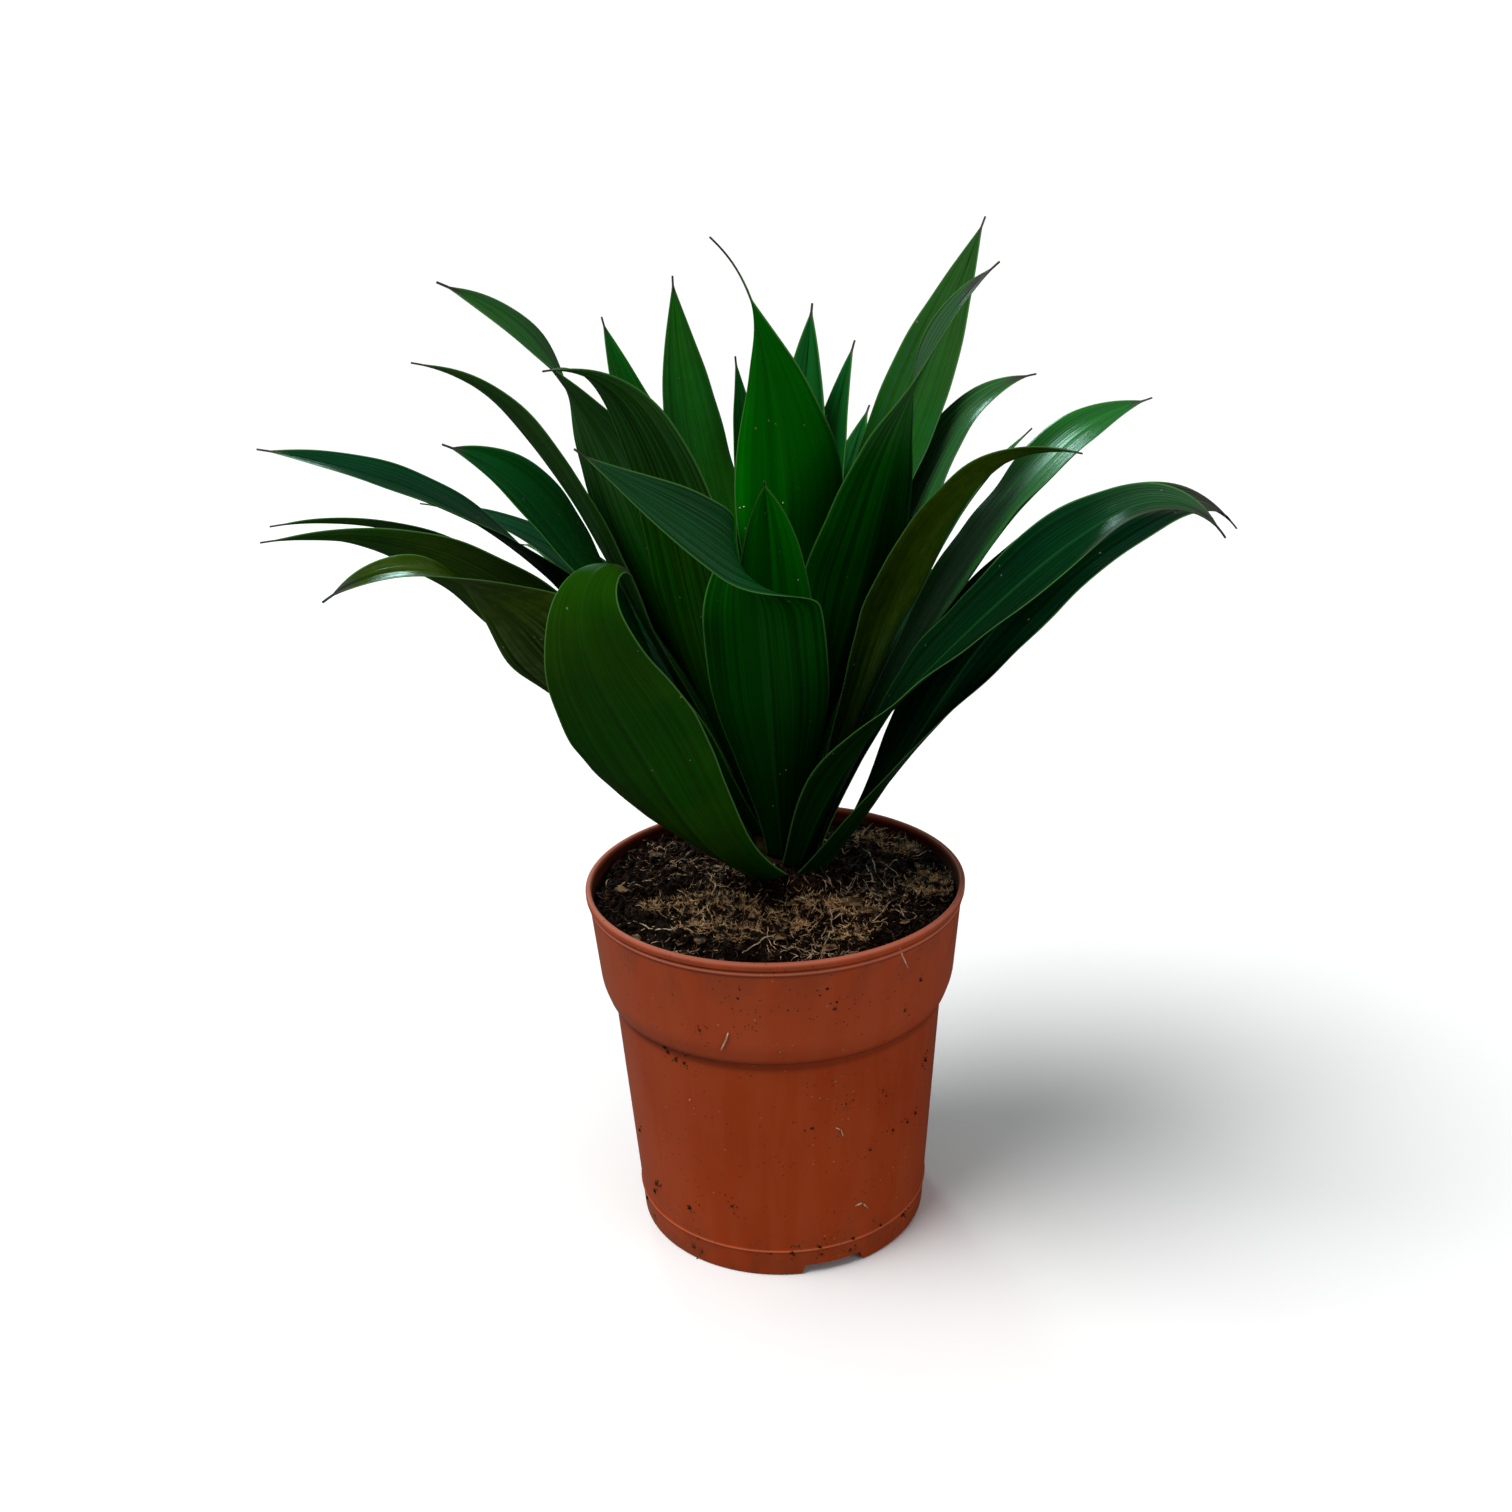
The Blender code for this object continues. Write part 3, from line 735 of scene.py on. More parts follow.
# %% Soil surface
SOIL_BELOW_RIM = 4.5 * MM
SOIL_MOUND = 1.5 * MM
GAP = 0.3 * MM
CANE_X = 4.0 * MM
CANE_Y = 11.0 * MM
CANE_RADIUS = 12.0 * MM
SOIL_Z = POT_HEIGHT - SOIL_BELOW_RIM + SOIL_MOUND
BED_RADIUS = 57.2 * MM
BED_RINGS = 96
BED_SIDES = 240
HEAP_HEIGHT = 6.0 * MM
HEAP_REACH = 13.0 * MM


def soil_height(x, y):
    """Height of the soil at a place: a mound, hollows, lumps and crumbs."""
    reach = math.hypot(x, y) / BED_RADIUS
    ground = POT_HEIGHT - SOIL_BELOW_RIM + SOIL_MOUND * (1 - reach**2)
    place = Vector((x, y, 0.0))
    lumps = 2.0 * MM * noise.noise(place * 70) + 1.3 * MM * noise.noise(place * 190)
    crumbs = 0.8 * MM * noise.noise(place * 480) + 0.45 * MM * noise.noise(place * 1100)
    away = math.hypot(x - CANE_X, y - CANE_Y) - CANE_RADIUS
    heap = HEAP_HEIGHT * (1 - min(1.0, max(0.0, away / HEAP_REACH))) ** 2
    return ground + heap + lumps + crumbs


print("soil beside the cane:", round(soil_height(CANE_X + CANE_RADIUS, CANE_Y), 4))

# %% [markdown]
# ## What peat looks like
# Close up, peat is separate crumbs, each a slightly different dark brown, with a tan one here and
# there. A cell pattern gives each crumb its own shade. The same recipe with other values serves
# the bed, the loose crumbs and the dirt on the pot.

# %% Peat finish
TAN_CRUMB = (0.12, 0.065, 0.03)


def peat_finish(name, dark, light, scale):
    """Crumbly brown-black matter: colour by crumb, rough, with fine bump."""
    material, tree, shader = new_finish(name, Specular_IOR_Level=0.15)
    place = own_place(tree)
    crumb = node(tree, "ShaderNodeTexVoronoi", {"Vector": place, "Scale": scale})
    shade = node(tree, "ShaderNodeSeparateColor", {0: crumb.outputs["Color"]}).outputs[1]
    colour = blend(tree, shade, dark, light)
    colour = tint(tree, colour, mottle(tree, place, scale=60.0, sharp=0.8), 0.5, dark)
    colour = blend(tree, specks(tree, place, scale=scale * 0.7, size=0.4, share=0.04), colour, TAN_CRUMB)
    rough = plus(tree, times(tree, shade, 0.25), 0.7)
    height = grain(tree, place, scale * 2.5, detail=4.0)
    close_finish(tree, shader, colour, rough, height, strength=0.8, depth=0.5 * MM)
    return material


# %% [markdown]
# ## Building the bed
# The bed is a grid of rings. It starts at the wall and closes toward the middle, and every point
# is set to the soil's height there. A few plain rings below give it sides and a floor, so that it
# is a closed body like the solid that it stands for.

# %% Bed of peat
RINGS_BELOW = (100 * MM, 84 * MM, 79 * MM, 30 * MM, FOOT_RING + WALL + GAP)


def ring_of(radius):
    """The places of one ring of the bed's points."""
    angles = [2 * math.pi * j / BED_SIDES for j in range(BED_SIDES)]
    return [(radius * math.cos(angle), radius * math.sin(angle)) for angle in angles]


def inside_radius(z):
    """Inside radius of the pot's wall at a height."""
    heights = (FOOT_RING + WALL, SHOULDER_Z, COLLAR_Z + 2.4 * MM, POT_HEIGHT)
    radii = (FOOT_RADIUS, BODY_TOP_RADIUS, COLLAR_RADIUS, RIM_RADIUS - 1.2 * MM)
    return float(np.interp(z, heights, radii)) - WALL


def build_bed():
    points = []
    for i in range(BED_RINGS + 1):
        radius = BED_RADIUS * (1 - i / BED_RINGS)
        points += [(x, y, soil_height(x, y)) for x, y in ring_of(radius)]
    for z in RINGS_BELOW:
        points += [(x, y, z) for x, y in ring_of(inside_radius(z) - 2 * GAP)]
    count = BED_RINGS + 1 + len(RINGS_BELOW)
    rings = [range(i * BED_SIDES, (i + 1) * BED_SIDES) for i in range(count)]
    top, side = rings[:BED_RINGS + 1], rings[BED_RINGS + 1:]
    order = side[::-1] + top
    faces = [tuple(reversed(side[-1]))]
    for lower, upper in zip(order, order[1:]):
        for j in range(BED_SIDES):
            k = (j + 1) % BED_SIDES
            faces.append((lower[j], lower[k], upper[k], upper[j]))
    finish = peat_finish(
        "peat_bed", dark=(0.0025, 0.0016, 0.0013), light=(0.015, 0.009, 0.0055), scale=700.0,
    )
    bed = link_mesh("peat_bed", points, faces, [finish])
    outward(bed, weld=0.01 * MM)
    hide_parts("soil")
    return finish_piece(bed)


print("bed faces:", len(build_bed().data.polygons))

# %% [markdown]
# ## Litter on the soil
# Loose matter of several kinds lies on the bed: dark crumbs, root fibres that curl, tan tufts of
# dead moss in front of the stem, bark chips and rootlets. Each kind is one mesh. The crumbs come
# first. A crumb is a small ball of few faces with its points pushed in and out at random, dropped
# at a random place. The random numbers are seeded, so they never change.

# %% Crumbs
CRUMBS = 6000
CRUMB_FACES = 20
CRUMB_LEAST = 0.35 * MM
CRUMB_EXTRA = 1.2 * MM
BARE_EDGE = 1.5 * MM


def somewhere(rng, reach=1.0):
    """A random place on the bed."""
    radius = (BED_RADIUS - BARE_EDGE) * reach * math.sqrt(rng.random())
    angle = rng.uniform(0, 2 * math.pi)
    return radius * math.cos(angle), radius * math.sin(angle)


def clear_of_cane(x, y):
    return math.hypot(x - CANE_X, y - CANE_Y) > CANE_RADIUS + BARE_EDGE


def add_chunk(points, faces, rng, place, size, flat=1.0):
    """One irregular many-sided crumb."""
    work = bmesh.new()
    bmesh.ops.create_icosphere(work, subdivisions=1, radius=size)
    spin = Matrix.Rotation(rng.uniform(0, 6.28), 3, "Z") @ Matrix.Rotation(rng.uniform(0, 3.1), 3, "X")
    start = len(points)
    for vert in work.verts:
        co = spin @ (vert.co * rng.uniform(0.55, 1.25))
        points.append((place[0] + co.x, place[1] + co.y, place[2] + co.z * flat))
    faces += [tuple(start + vert.index for vert in face.verts) for face in work.faces]
    work.free()


def litter(name, points, faces, finish):
    """One mesh of loose matter. It rides with the pot."""
    return finish_piece(link_mesh(name, points, faces, [finish]))


def build_crumbs():
    rng = random.Random(11)
    points, faces = [], []
    while len(faces) < CRUMBS * CRUMB_FACES:
        x, y = somewhere(rng)
        size = CRUMB_LEAST + CRUMB_EXTRA * rng.random() ** 4
        if clear_of_cane(x, y):
            add_chunk(points, faces, rng, (x, y, soil_height(x, y) + size * 0.3), size)
    finish = peat_finish(
        "peat_crumbs", dark=(0.003, 0.0018, 0.0013), light=(0.026, 0.015, 0.009), scale=500.0,
    )
    return litter("peat_crumbs", points, faces, finish)


print("crumb faces:", len(build_crumbs().data.polygons))

# %% [markdown]
# ## Fibres
# Root fibres are thin, pointed at both ends and never straight. Each one walks over the soil in
# small steps with a slowly changing heading, and some lift off at one end so that they throw a
# shadow. A tube of four sides is enough at this size. The dark ones lie everywhere, and the pale
# ones crowd into drifts.

# %% Threads
THREAD_END = 0.35
THREAD_LIE = 0.35 * MM
STRONGEST_BEND = 1.6
HEADING_SHAKE = 0.25


def add_thread(points, faces, path, radius, sides=4):
    """A thin tube along a path, thinner toward both ends and capped."""
    start = len(points)
    last = len(path) - 1
    for i, here in enumerate(path):
        along = (path[min(i + 1, last)] - path[max(i - 1, 0)]).normalized()
        side = along.orthogonal().normalized()
        other = along.cross(side)
        swell = math.sin(math.pi * (0.12 + 0.8 * i / last))
        thick = radius * (THREAD_END + (1 - THREAD_END) * swell)
        for j in range(sides):
            angle = 2 * math.pi * j / sides
            points.append(here + (side * math.cos(angle) + other * math.sin(angle)) * thick)
    for i in range(last):
        for j in range(sides):
            k = (j + 1) % sides
            a, b = start + i * sides, start + (i + 1) * sides
            faces.append((a + j, a + k, b + k, b + j))
    faces.append(tuple(start + j for j in reversed(range(sides))))
    faces.append(tuple(start + last * sides + j for j in range(sides)))


def curl_path(rng, x, y, length, lift, steps=9):
    """A fibre that lies on the soil in a curve and may rise at one end."""
    heading = rng.uniform(0, 2 * math.pi)
    bend = rng.uniform(-1, 1) * STRONGEST_BEND
    path = []
    for i in range(steps + 1):
        s = i / steps
        if math.hypot(x, y) > BED_RADIUS - 0.6 * MM:
            x, y = x * 0.985, y * 0.985
        path.append(Vector((x, y, soil_height(x, y) + THREAD_LIE + lift * s * s)))
        heading += bend / steps * 2 + rng.uniform(-HEADING_SHAKE, HEADING_SHAKE)
        x += math.cos(heading) * length / steps
        y += math.sin(heading) * length / steps
    return path


def fibre_finish(name, dark, light):
    """Dry plant matter: two tones in short stretches, with fine ridges."""
    material, tree, shader = new_finish(name, Specular_IOR_Level=0.3)
    place = own_place(tree)
    share = between(tree, grain(tree, place, 420.0, detail=3.0), 0.40, 0.62)
    rough = plus(tree, times(tree, share, 0.2), 0.6)
    ridges = grain(tree, place, 2400.0)
    colour = blend(tree, share, dark, light)
    close_finish(tree, shader, colour, rough, ridges, strength=0.5, depth=0.1 * MM)
    return material


# %% Fibres
DARK_FIBRES = 1000
PALE_FIBRES = 620
HIGHEST_LIFT = 3.5 * MM


def build_fibres(name, count, seed, lengths, radii, colours, bias):
    """Fibres of one kind. A low bias crowds them into drifts."""
    rng = random.Random(seed)
    points, faces = [], []
    made = 0
    while made < count:
        x, y = somewhere(rng, 0.97)
        if not clear_of_cane(x, y) or rng.random() > bias + noise.noise(Vector((x, y, seed)) * 45) * 2:
            continue
        lift = rng.random() ** 3 * HIGHEST_LIFT
        path = curl_path(rng, x, y, rng.uniform(*lengths), lift)
        add_thread(points, faces, path, rng.uniform(*radii))
        made += 1
    return litter(name, points, faces, fibre_finish(name + "_finish", *colours))


build_fibres(
    "dark_fibres", DARK_FIBRES, seed=5, lengths=(3 * MM, 10 * MM), radii=(0.08 * MM, 0.20 * MM),
    colours=((0.008, 0.005, 0.003), (0.13, 0.065, 0.035)), bias=1.0,
)
build_fibres(
    "pale_fibres", PALE_FIBRES, seed=8, lengths=(3 * MM, 12 * MM), radii=(0.07 * MM, 0.18 * MM),
    colours=((0.10, 0.055, 0.025), (0.90, 0.64, 0.40)), bias=0.2,
)
print("fibres:", DARK_FIBRES + PALE_FIBRES)

# %% [markdown]
# ## Moss mats
# In front of the stem lie tan, felted tufts. A tuft is only a crowd: many very short, thin fibres
# whose middles gather round one place. The places are read off the photograph, as pixel across,
# pixel down and reach in millimetres, and the ray through each pixel finds the soil.

# %% Moss mats
SOIL_LUMPS = 9 * MM
SOIL_HOLLOWS = 6 * MM


def seen_on_soil(x, y):
    """Where the ray through a pixel meets the bumpy soil."""
    ray = pixel_ray(x, y)
    place = seen_on_level(x, y, SOIL_Z + SOIL_LUMPS)
    while place.z > soil_height(place.x, place.y) and place.z > SOIL_Z - SOIL_HOLLOWS:
        place = place + ray * 0.25 * MM
    return place


MATS = [
    (690, 905, 8), (712, 897, 9), (735, 905, 9), (755, 915, 8), (700, 925, 7), (738, 932, 6),
    (812, 903, 7), (835, 908, 8), (858, 912, 6), (930, 880, 7), (925, 895, 6), (945, 890, 5),
    (655, 908, 3), (790, 925, 5), (905, 850, 5), (880, 838, 5), (742, 908, 6),
    (854, 936, 5), (940, 878, 5),
]
MAT_FIBRES = 145
MAT_SPREAD = 1.25
MAT_DEPTH = 0.8


def build_mats():
    rng = random.Random(21)
    points, faces = [], []
    for across, down, reach in MATS:
        middle = seen_on_soil(across, down)
        for _ in range(MAT_FIBRES):
            angle = rng.uniform(0, 2 * math.pi)
            away = MAT_SPREAD * reach * MM * rng.random() ** 0.8
            x, y = middle.x + away * math.cos(angle), middle.y + away * math.sin(angle) * MAT_DEPTH
            if math.hypot(x, y) > BED_RADIUS - 2 * MM or not clear_of_cane(x, y):
                continue
            lift = rng.uniform(0.2, 2.4) * MM
            path = curl_path(rng, x, y, rng.uniform(1.8, 6.0) * MM, lift, steps=5)
            add_thread(points, faces, path, (0.07 + 0.11 * rng.random() ** 2) * MM, sides=3)
    finish = fibre_finish("mat_finish", dark=(0.022, 0.012, 0.006), light=(1.0, 0.63, 0.31))
    return litter("moss_mats", points, faces, finish)


print("mat faces:", len(build_mats().data.polygons))

# %% [markdown]
# ## Bark chips
# Chips are flat flakes, so each is a crumb that is squeezed to a tenth of its height, with hard
# edges left in the shading. The large ones lie where the photograph shows them. A few small ones
# are scattered.

# %% Bark chips
CHIP_FLATNESS = 0.13
CHIPS = [
    (848, 908, 4.5), (866, 915, 3.5), (826, 905, 3.0), (622, 893, 2.6), (617, 860, 3.0), (636, 942, 2.5),
    (700, 945, 2.5), (780, 940, 2.5), (828, 952, 3.0), (905, 925, 2.0), (655, 858, 2.5), (918, 868, 2.5),
]
LOOSE_CHIPS = 24


def build_chips():
    rng = random.Random(31)
    points, faces = [], []
    spots = [(*seen_on_soil(across, down).xy, size * MM) for across, down, size in CHIPS]
    spots += [(*somewhere(rng, 0.92), rng.uniform(0.7, 1.5) * MM) for _ in range(LOOSE_CHIPS)]
    for x, y, size in spots:
        if clear_of_cane(x, y) and math.hypot(x, y) < BED_RADIUS - size:
            lift = 0.4 * MM + 0.35 * size
            place = (x, y, soil_height(x, y) + lift)
            add_chunk(points, faces, rng, place, size, CHIP_FLATNESS)
    finish = fibre_finish("bark_finish", dark=(0.045, 0.022, 0.010), light=(0.26, 0.15, 0.07))
    chips = litter("bark_chips", points, faces, finish)
    chips.data.shade_flat()
    return chips


print("chip faces:", len(build_chips().data.polygons))

# %% [markdown]
# ## Rootlets
# A dozen pale rootlets are thick enough to be told apart. Each is drawn through four pixels of
# the photograph that are cast onto the soil, and two of every three lift off at the end.

# %% Rootlets seen in the photograph
ROOTLETS = [
    ((768, 850), (771, 862), (776, 874), (784, 888)), ((862, 850), (870, 856), (874, 866), (876, 878)),
    ((866, 866), (871, 876), (873, 884), (871, 890)), ((848, 943), (857, 940), (866, 937), (875, 934)),
    ((822, 956), (824, 948), (828, 942), (830, 938)), ((640, 925), (652, 932), (664, 935), (678, 936)),
    ((660, 915), (672, 921), (686, 924), (700, 930)), ((700, 890), (708, 880), (716, 890), (712, 900)),
    ((796, 898), (800, 900), (804, 904), (806, 909)), ((880, 832), (886, 824), (894, 822), (902, 822)),
    ((905, 862), (917, 858), (928, 853), (938, 856)), ((742, 955), (752, 950), (762, 945), (776, 944)),
]
ROOTLET_RISE = 1.6 * MM
ROOTLET_LIE = 0.6 * MM


def drawn_through(corners, steps=4):
    """Even points along the lines between the corners."""
    path = [a.lerp(b, k / steps) for a, b in zip(corners, corners[1:]) for k in range(steps)]
    return path + [corners[-1]]


def set_radius(here, radius):
    """Moves a point straight out or in to a distance from the pot's axis."""
    share = radius / math.hypot(here.x, here.y)
    here.x, here.y = here.x * share, here.y * share


def build_rootlets():
    points, faces = [], []
    for i, marks in enumerate(ROOTLETS):
        path = drawn_through([seen_on_soil(x, y) for x, y in marks])
        for here in path:
            set_radius(here, min(math.hypot(here.x, here.y), BED_RADIUS - ROOTLET_LIE))
            here.z = soil_height(here.x, here.y) + ROOTLET_LIE
        rise = ROOTLET_RISE * (i % 3)
        for k, here in enumerate(path):
            here.z += rise * (k / len(path)) ** 2
        add_thread(points, faces, path, (0.13 + 0.04 * (i % 3)) * MM, sides=6)
    finish = fibre_finish("rootlet_finish", dark=(0.42, 0.30, 0.17), light=(0.85, 0.72, 0.52))
    return litter("pale_rootlets", points, faces, finish)


print("rootlet faces:", len(build_rootlets().data.polygons))

# %% [markdown]
# ## Dirt on the pot
# Peat also clings to the outside of the pot: crumbs in little clusters, a few lighter grains and
# short rootlets. Their places are read off the photograph, and the same ray finds the wall.

# %% Dirt on the wall
DARK_SPOTS = [
    (817, 990), (827, 988), (833, 985), (820, 995), (837, 1002), (834, 1008), (830, 1003), (740, 988),
    (738, 998), (732, 1008), (788, 1010), (760, 1000), (883, 1090), (886, 1096), (853, 1100), (846, 1104),
    (915, 1113), (907, 1122), (893, 1130), (657, 1182), (655, 1190), (648, 1197), (690, 1207), (732, 1206),
    (907, 1207), (902, 1215), (853, 1238), (856, 1246), (850, 1250), (820, 1247), (822, 1254), (698, 1238),
    (694, 1246), (702, 1250), (771, 1253), (792, 1252), (668, 1052), (676, 1060), (684, 1063), (665, 1047),
    (812, 1128), (870, 1150), (640, 1130), (925, 1060), (700, 1030), (905, 1010), (920, 980), (655, 1215),
    (880, 1225),
]
PALE_SPOTS = [
    (898, 1083), (835, 1081), (842, 1125), (820, 1098), (893, 1167), (813, 1164), (755, 1020), (718, 1025),
    (858, 1070), (868, 1105), (845, 1110), (800, 1040), (780, 1052), (690, 1100), (725, 1150), (880, 1180),
]
MOST_NEAR = 9
CLUSTER_SPREAD = 1.9
WALL_ROOTLETS = [
    ((728, 1033), (726, 1040), (721, 1050)), ((855, 1206), (862, 1203), (868, 1208)),
    ((836, 1128), (841, 1130), (843, 1136)), ((900, 948), (902, 955), (908, 968)),
]


def wall_radius(z):
    """Outside radius of the pot at a height."""
    heights = (0, SHOULDER_Z, COLLAR_Z + 1.0 * MM, POT_HEIGHT)
    return float(np.interp(z, heights, (FOOT_RADIUS, BODY_TOP_RADIUS, COLLAR_RADIUS, RIM_RADIUS - BEAD)))


def root_radius(z):
    """A rootlet's middle lies just off the wall."""
    return wall_radius(z) + 0.35 * MM


def build_wall_dirt(name, spots, sizes, seed, finish):
    """Each spot is one crumb with a few smaller ones near it, all set on the wall."""
    rng = random.Random(seed)
    points, faces = [], []
    for across, down in spots:
        place = seen_on_turned(across, down, wall_radius)
        if place is not None:
            size = rng.uniform(*sizes)
            add_chunk(points, faces, rng, place, size * MM)
            for _ in range(rng.randint(1, MOST_NEAR)):
                near = place + Vector((rng.gauss(0, 1), 0, rng.gauss(0, 1))) * CLUSTER_SPREAD * MM
                set_radius(near, wall_radius(near.z))
                add_chunk(points, faces, rng, near, size * rng.uniform(0.25, 0.5) * MM)
    return litter(name, points, faces, finish)


def build_wall_rootlets():
    points, faces = [], []
    for marks in WALL_ROOTLETS:
        path = drawn_through([seen_on_turned(x, y, root_radius) for x, y in marks])
        for here in path:
            set_radius(here, wall_radius(here.z) + 0.3 * MM)
        add_thread(points, faces, path, 0.3 * MM, sides=6)
    finish = fibre_finish("wall_rootlet_finish", dark=(0.45, 0.26, 0.15), light=(0.75, 0.58, 0.42))
    return litter("wall_rootlets", points, faces, finish)


# %% [markdown]
# The same two recipes serve here with browner values, because a thin crust of peat on the
# plastic lets some of its warm colour through.

# %% Build the dirt
wall_peat = peat_finish("wall_peat", dark=(0.022, 0.009, 0.004), light=(0.12, 0.052, 0.020), scale=900.0)
wall_grit = fibre_finish("wall_grit", dark=(0.30, 0.14, 0.07), light=(0.55, 0.30, 0.17))
build_wall_dirt("wall_crumbs", DARK_SPOTS, (0.28, 0.85), 41, wall_peat)
build_wall_dirt("wall_grains", PALE_SPOTS, (0.20, 0.42), 43, wall_grit)
print("wall rootlet faces:", len(build_wall_rootlets().data.polygons))

# %% [markdown]
# ## How a leaf grows
# A strap leaf is a blade bent along its length, so it is drawn by walking up its midrib. At each
# step the rib has a lean from upright, a heading round the cane, and the blade a roll about the
# rib. The table gives those angles at a few even steps from foot to tip. A heading of 0 points to
# the right of the picture, and one of 90 away from the viewer. The foot's height above the soil,
# the length and the width are in millimetres. **cup** is the gutter's depth as an angle, **broad**
# is the place of the widest part, **drip** is where the thread-like tip begins, and **clasp** says
# how much of the cane the foot holds. All the rest comes from formulas.

# %% Leaf table
CANE_TOP_RADIUS = 3.0 * MM
CANE_ABOVE_SOIL = 66.0 * MM
CLASP_GAP = 0.5 * MM
LEAF_THICKNESS = 0.8 * MM

Leaf = namedtuple(
    "Leaf",
    "heading height length width lean swing roll cup broad drip clasp",
    defaults=((0,), (0,), 18, 0.48, 0.985, 0.5),
)

LEAVES = [
    Leaf(233, 1, 176, 36, (56, 50, 45, 41, 38, 35, 2, -150), swing=(0, 14, 16, 5, -5),
         roll=(0, 10, 20, 20, 10), cup=14, broad=0.6, drip=1.0, clasp=0.85),
    Leaf(322, 2, 195, 44, (38, 31, 32, 46, 72, 138), swing=(0, 26, 42, 52, 72), roll=(0, 8, 13, 22, 20),
         broad=0.4, clasp=0.8),
    Leaf(90, 2, 90, 32, (34, 32, 38, 55, 85)),
    Leaf(214, 3.5, 185, 32, (40, 38, 35, 36, 62, 120), roll=(0, 0, 25, 50, 0, -30), broad=0.54),
    Leaf(48, 5, 122, 32, (33, 33, 42, 60, 95)),
    Leaf(140, 5.5, 142, 32, (36, 35, 42, 60, 95)),
    Leaf(199, 6, 190, 38, (37, 36, 37, 43, 66, 95), roll=(0, 15, 35, 40, 10)),
    Leaf(287, 6, 198, 38, (32, 33, 37, 41, 43, 46, 58, 150), swing=(0, 24, 42, 50, 54),
         roll=(0, 10, 20, 30, 20)),
    Leaf(264, 9, 181, 36, (27, 26, 25, 24, 26, 50, 54, 50), swing=(0, 0, 0, 0, 0, -50, -56, -60),
         roll=(0, 0, 0, 0, 0, -50, -50, -40), broad=0.42),
    Leaf(115, 8, 110, 32, (30, 30, 35, 50, 80)),
    Leaf(187, 9.5, 188, 28, (34, 33, 37, 47, 72, 98), roll=(0, 10, 20)),
    Leaf(68, 10.5, 108, 32, (29, 29, 35, 50, 80)),
    Leaf(180, 12, 199, 28, (30, 31, 35, 48, 66, 78), swing=(0, 0, 4, 8, 12), roll=(0, 8, 35, 15, -15, -20),
         broad=0.6),
    Leaf(211, 15, 166, 38, (30, 30, 29, 29, 36, 66), roll=(0, 0, -20, -35, -40), broad=0.62),
    Leaf(3, 15, 170, 40, (28, 27, 30, 36, 43, 74), roll=(0, 0, 0, 8), cup=20, broad=0.72),
    Leaf(157, 17, 160, 24, (28, 30, 38, 54, 74, 88)),
    Leaf(92, 17, 115, 28, (23, 22, 28, 45, 80)),
    Leaf(232, 17.5, 185, 34, (25, 22, 15, 15, 35, 92)),
    Leaf(328, 19, 160, 32, (23, 22, 21, 26, 46, 100), roll=(0, -10), broad=0.62),
    Leaf(190, 20, 179, 28, (26, 26, 25, 25, 34, 80), roll=(0, -5, -5, 10, 25, 20)),
    Leaf(266, 21, 128, 24, (14, 14, 14, 25, 50)),
    Leaf(4, 22, 136, 18, (22, 24, 26, 33, 48)),
    Leaf(205, 25, 192, 34, (23, 22, 20, 18, 36, 66), roll=(0, 15, 30, 30, 25, -30, -60)),
    Leaf(347, 25, 90, 12, (20, 21, 21, 24, 30)),
    Leaf(11, 28.5, 150, 30, (18, 20, 21, 23, 34, 85), roll=(0, 5, 15, 20)),
    Leaf(148, 30, 152, 36, (18, 19, 22, 24, 15)),
    Leaf(60, 31.5, 122, 20, (15, 18, 23, 34, 44)),
    Leaf(315, 34, 177, 34, (20, 20, 18, 17, 30, 55), roll=(0, -10, -25, 0, 45, 50), broad=0.42),
    Leaf(26, 38, 173, 30, (14, 19, 24, 25, 24), roll=(0, 5, 15, 15), broad=0.56),
    Leaf(134, 38, 151, 30, (17, 19, 17, 10, 0)),
    Leaf(70, 40.5, 112, 18, (9, 14, 22, 36, 56)),
    Leaf(48, 44, 124, 18, (7, 11, 15, 26)),
    Leaf(66, 47.5, 130, 22, (5, 8, 12, 17)),
    Leaf(278, 46, 160, 32, (8, 9, 10, 11, 12, 13, 14, 15, 20, 48),
         swing=(0, 0, 0, 0, 0, -20, -40, -60, -80, -95), broad=0.54, drip=0.88),
    Leaf(146, 51, 112, 20, (4, 4, 4, 4)),
    Leaf(330, 55, 93, 14, (5, 6, 8, 10)),
    Leaf(20, 60, 80, 12, (2, 3, 4, 5)),
]
print("leaves in the table:", len(LEAVES))

# %% [markdown]
# ## Walking up the rib
# The few angles of the table are read at many even steps and then averaged over a short window, so
# no bend is a kink. Adding up the small steps gives the rib. A curve object with a bevel could
# draw it too, but then the blade could not hold its roll. The width comes from a formula:
# it rises from the clasping foot to the widest place and falls to a thread at the tip.

# %% Walk up the rib
STATIONS = 105
SMOOTHING = 11
FOOT_LIMIT = 0.7
TIP_CURVE = 2.0
THREAD_HALF_WIDTH = 0.85 * MM


def cane_radius(height):
    share = min(1.0, max(0.0, height / CANE_ABOVE_SOIL))
    return CANE_RADIUS + (CANE_TOP_RADIUS - CANE_RADIUS) * share


def spread(values, t):
    """Values given at even steps, read at t and rounded off so that no bend is a kink."""
    read = np.interp(t, np.linspace(0, 1, len(values)), values)
    window = np.hanning(SMOOTHING + 2)[1:-1]
    padded = np.pad(read, SMOOTHING // 2, mode="edge")
    return np.convolve(padded, window / window.sum(), mode="valid")


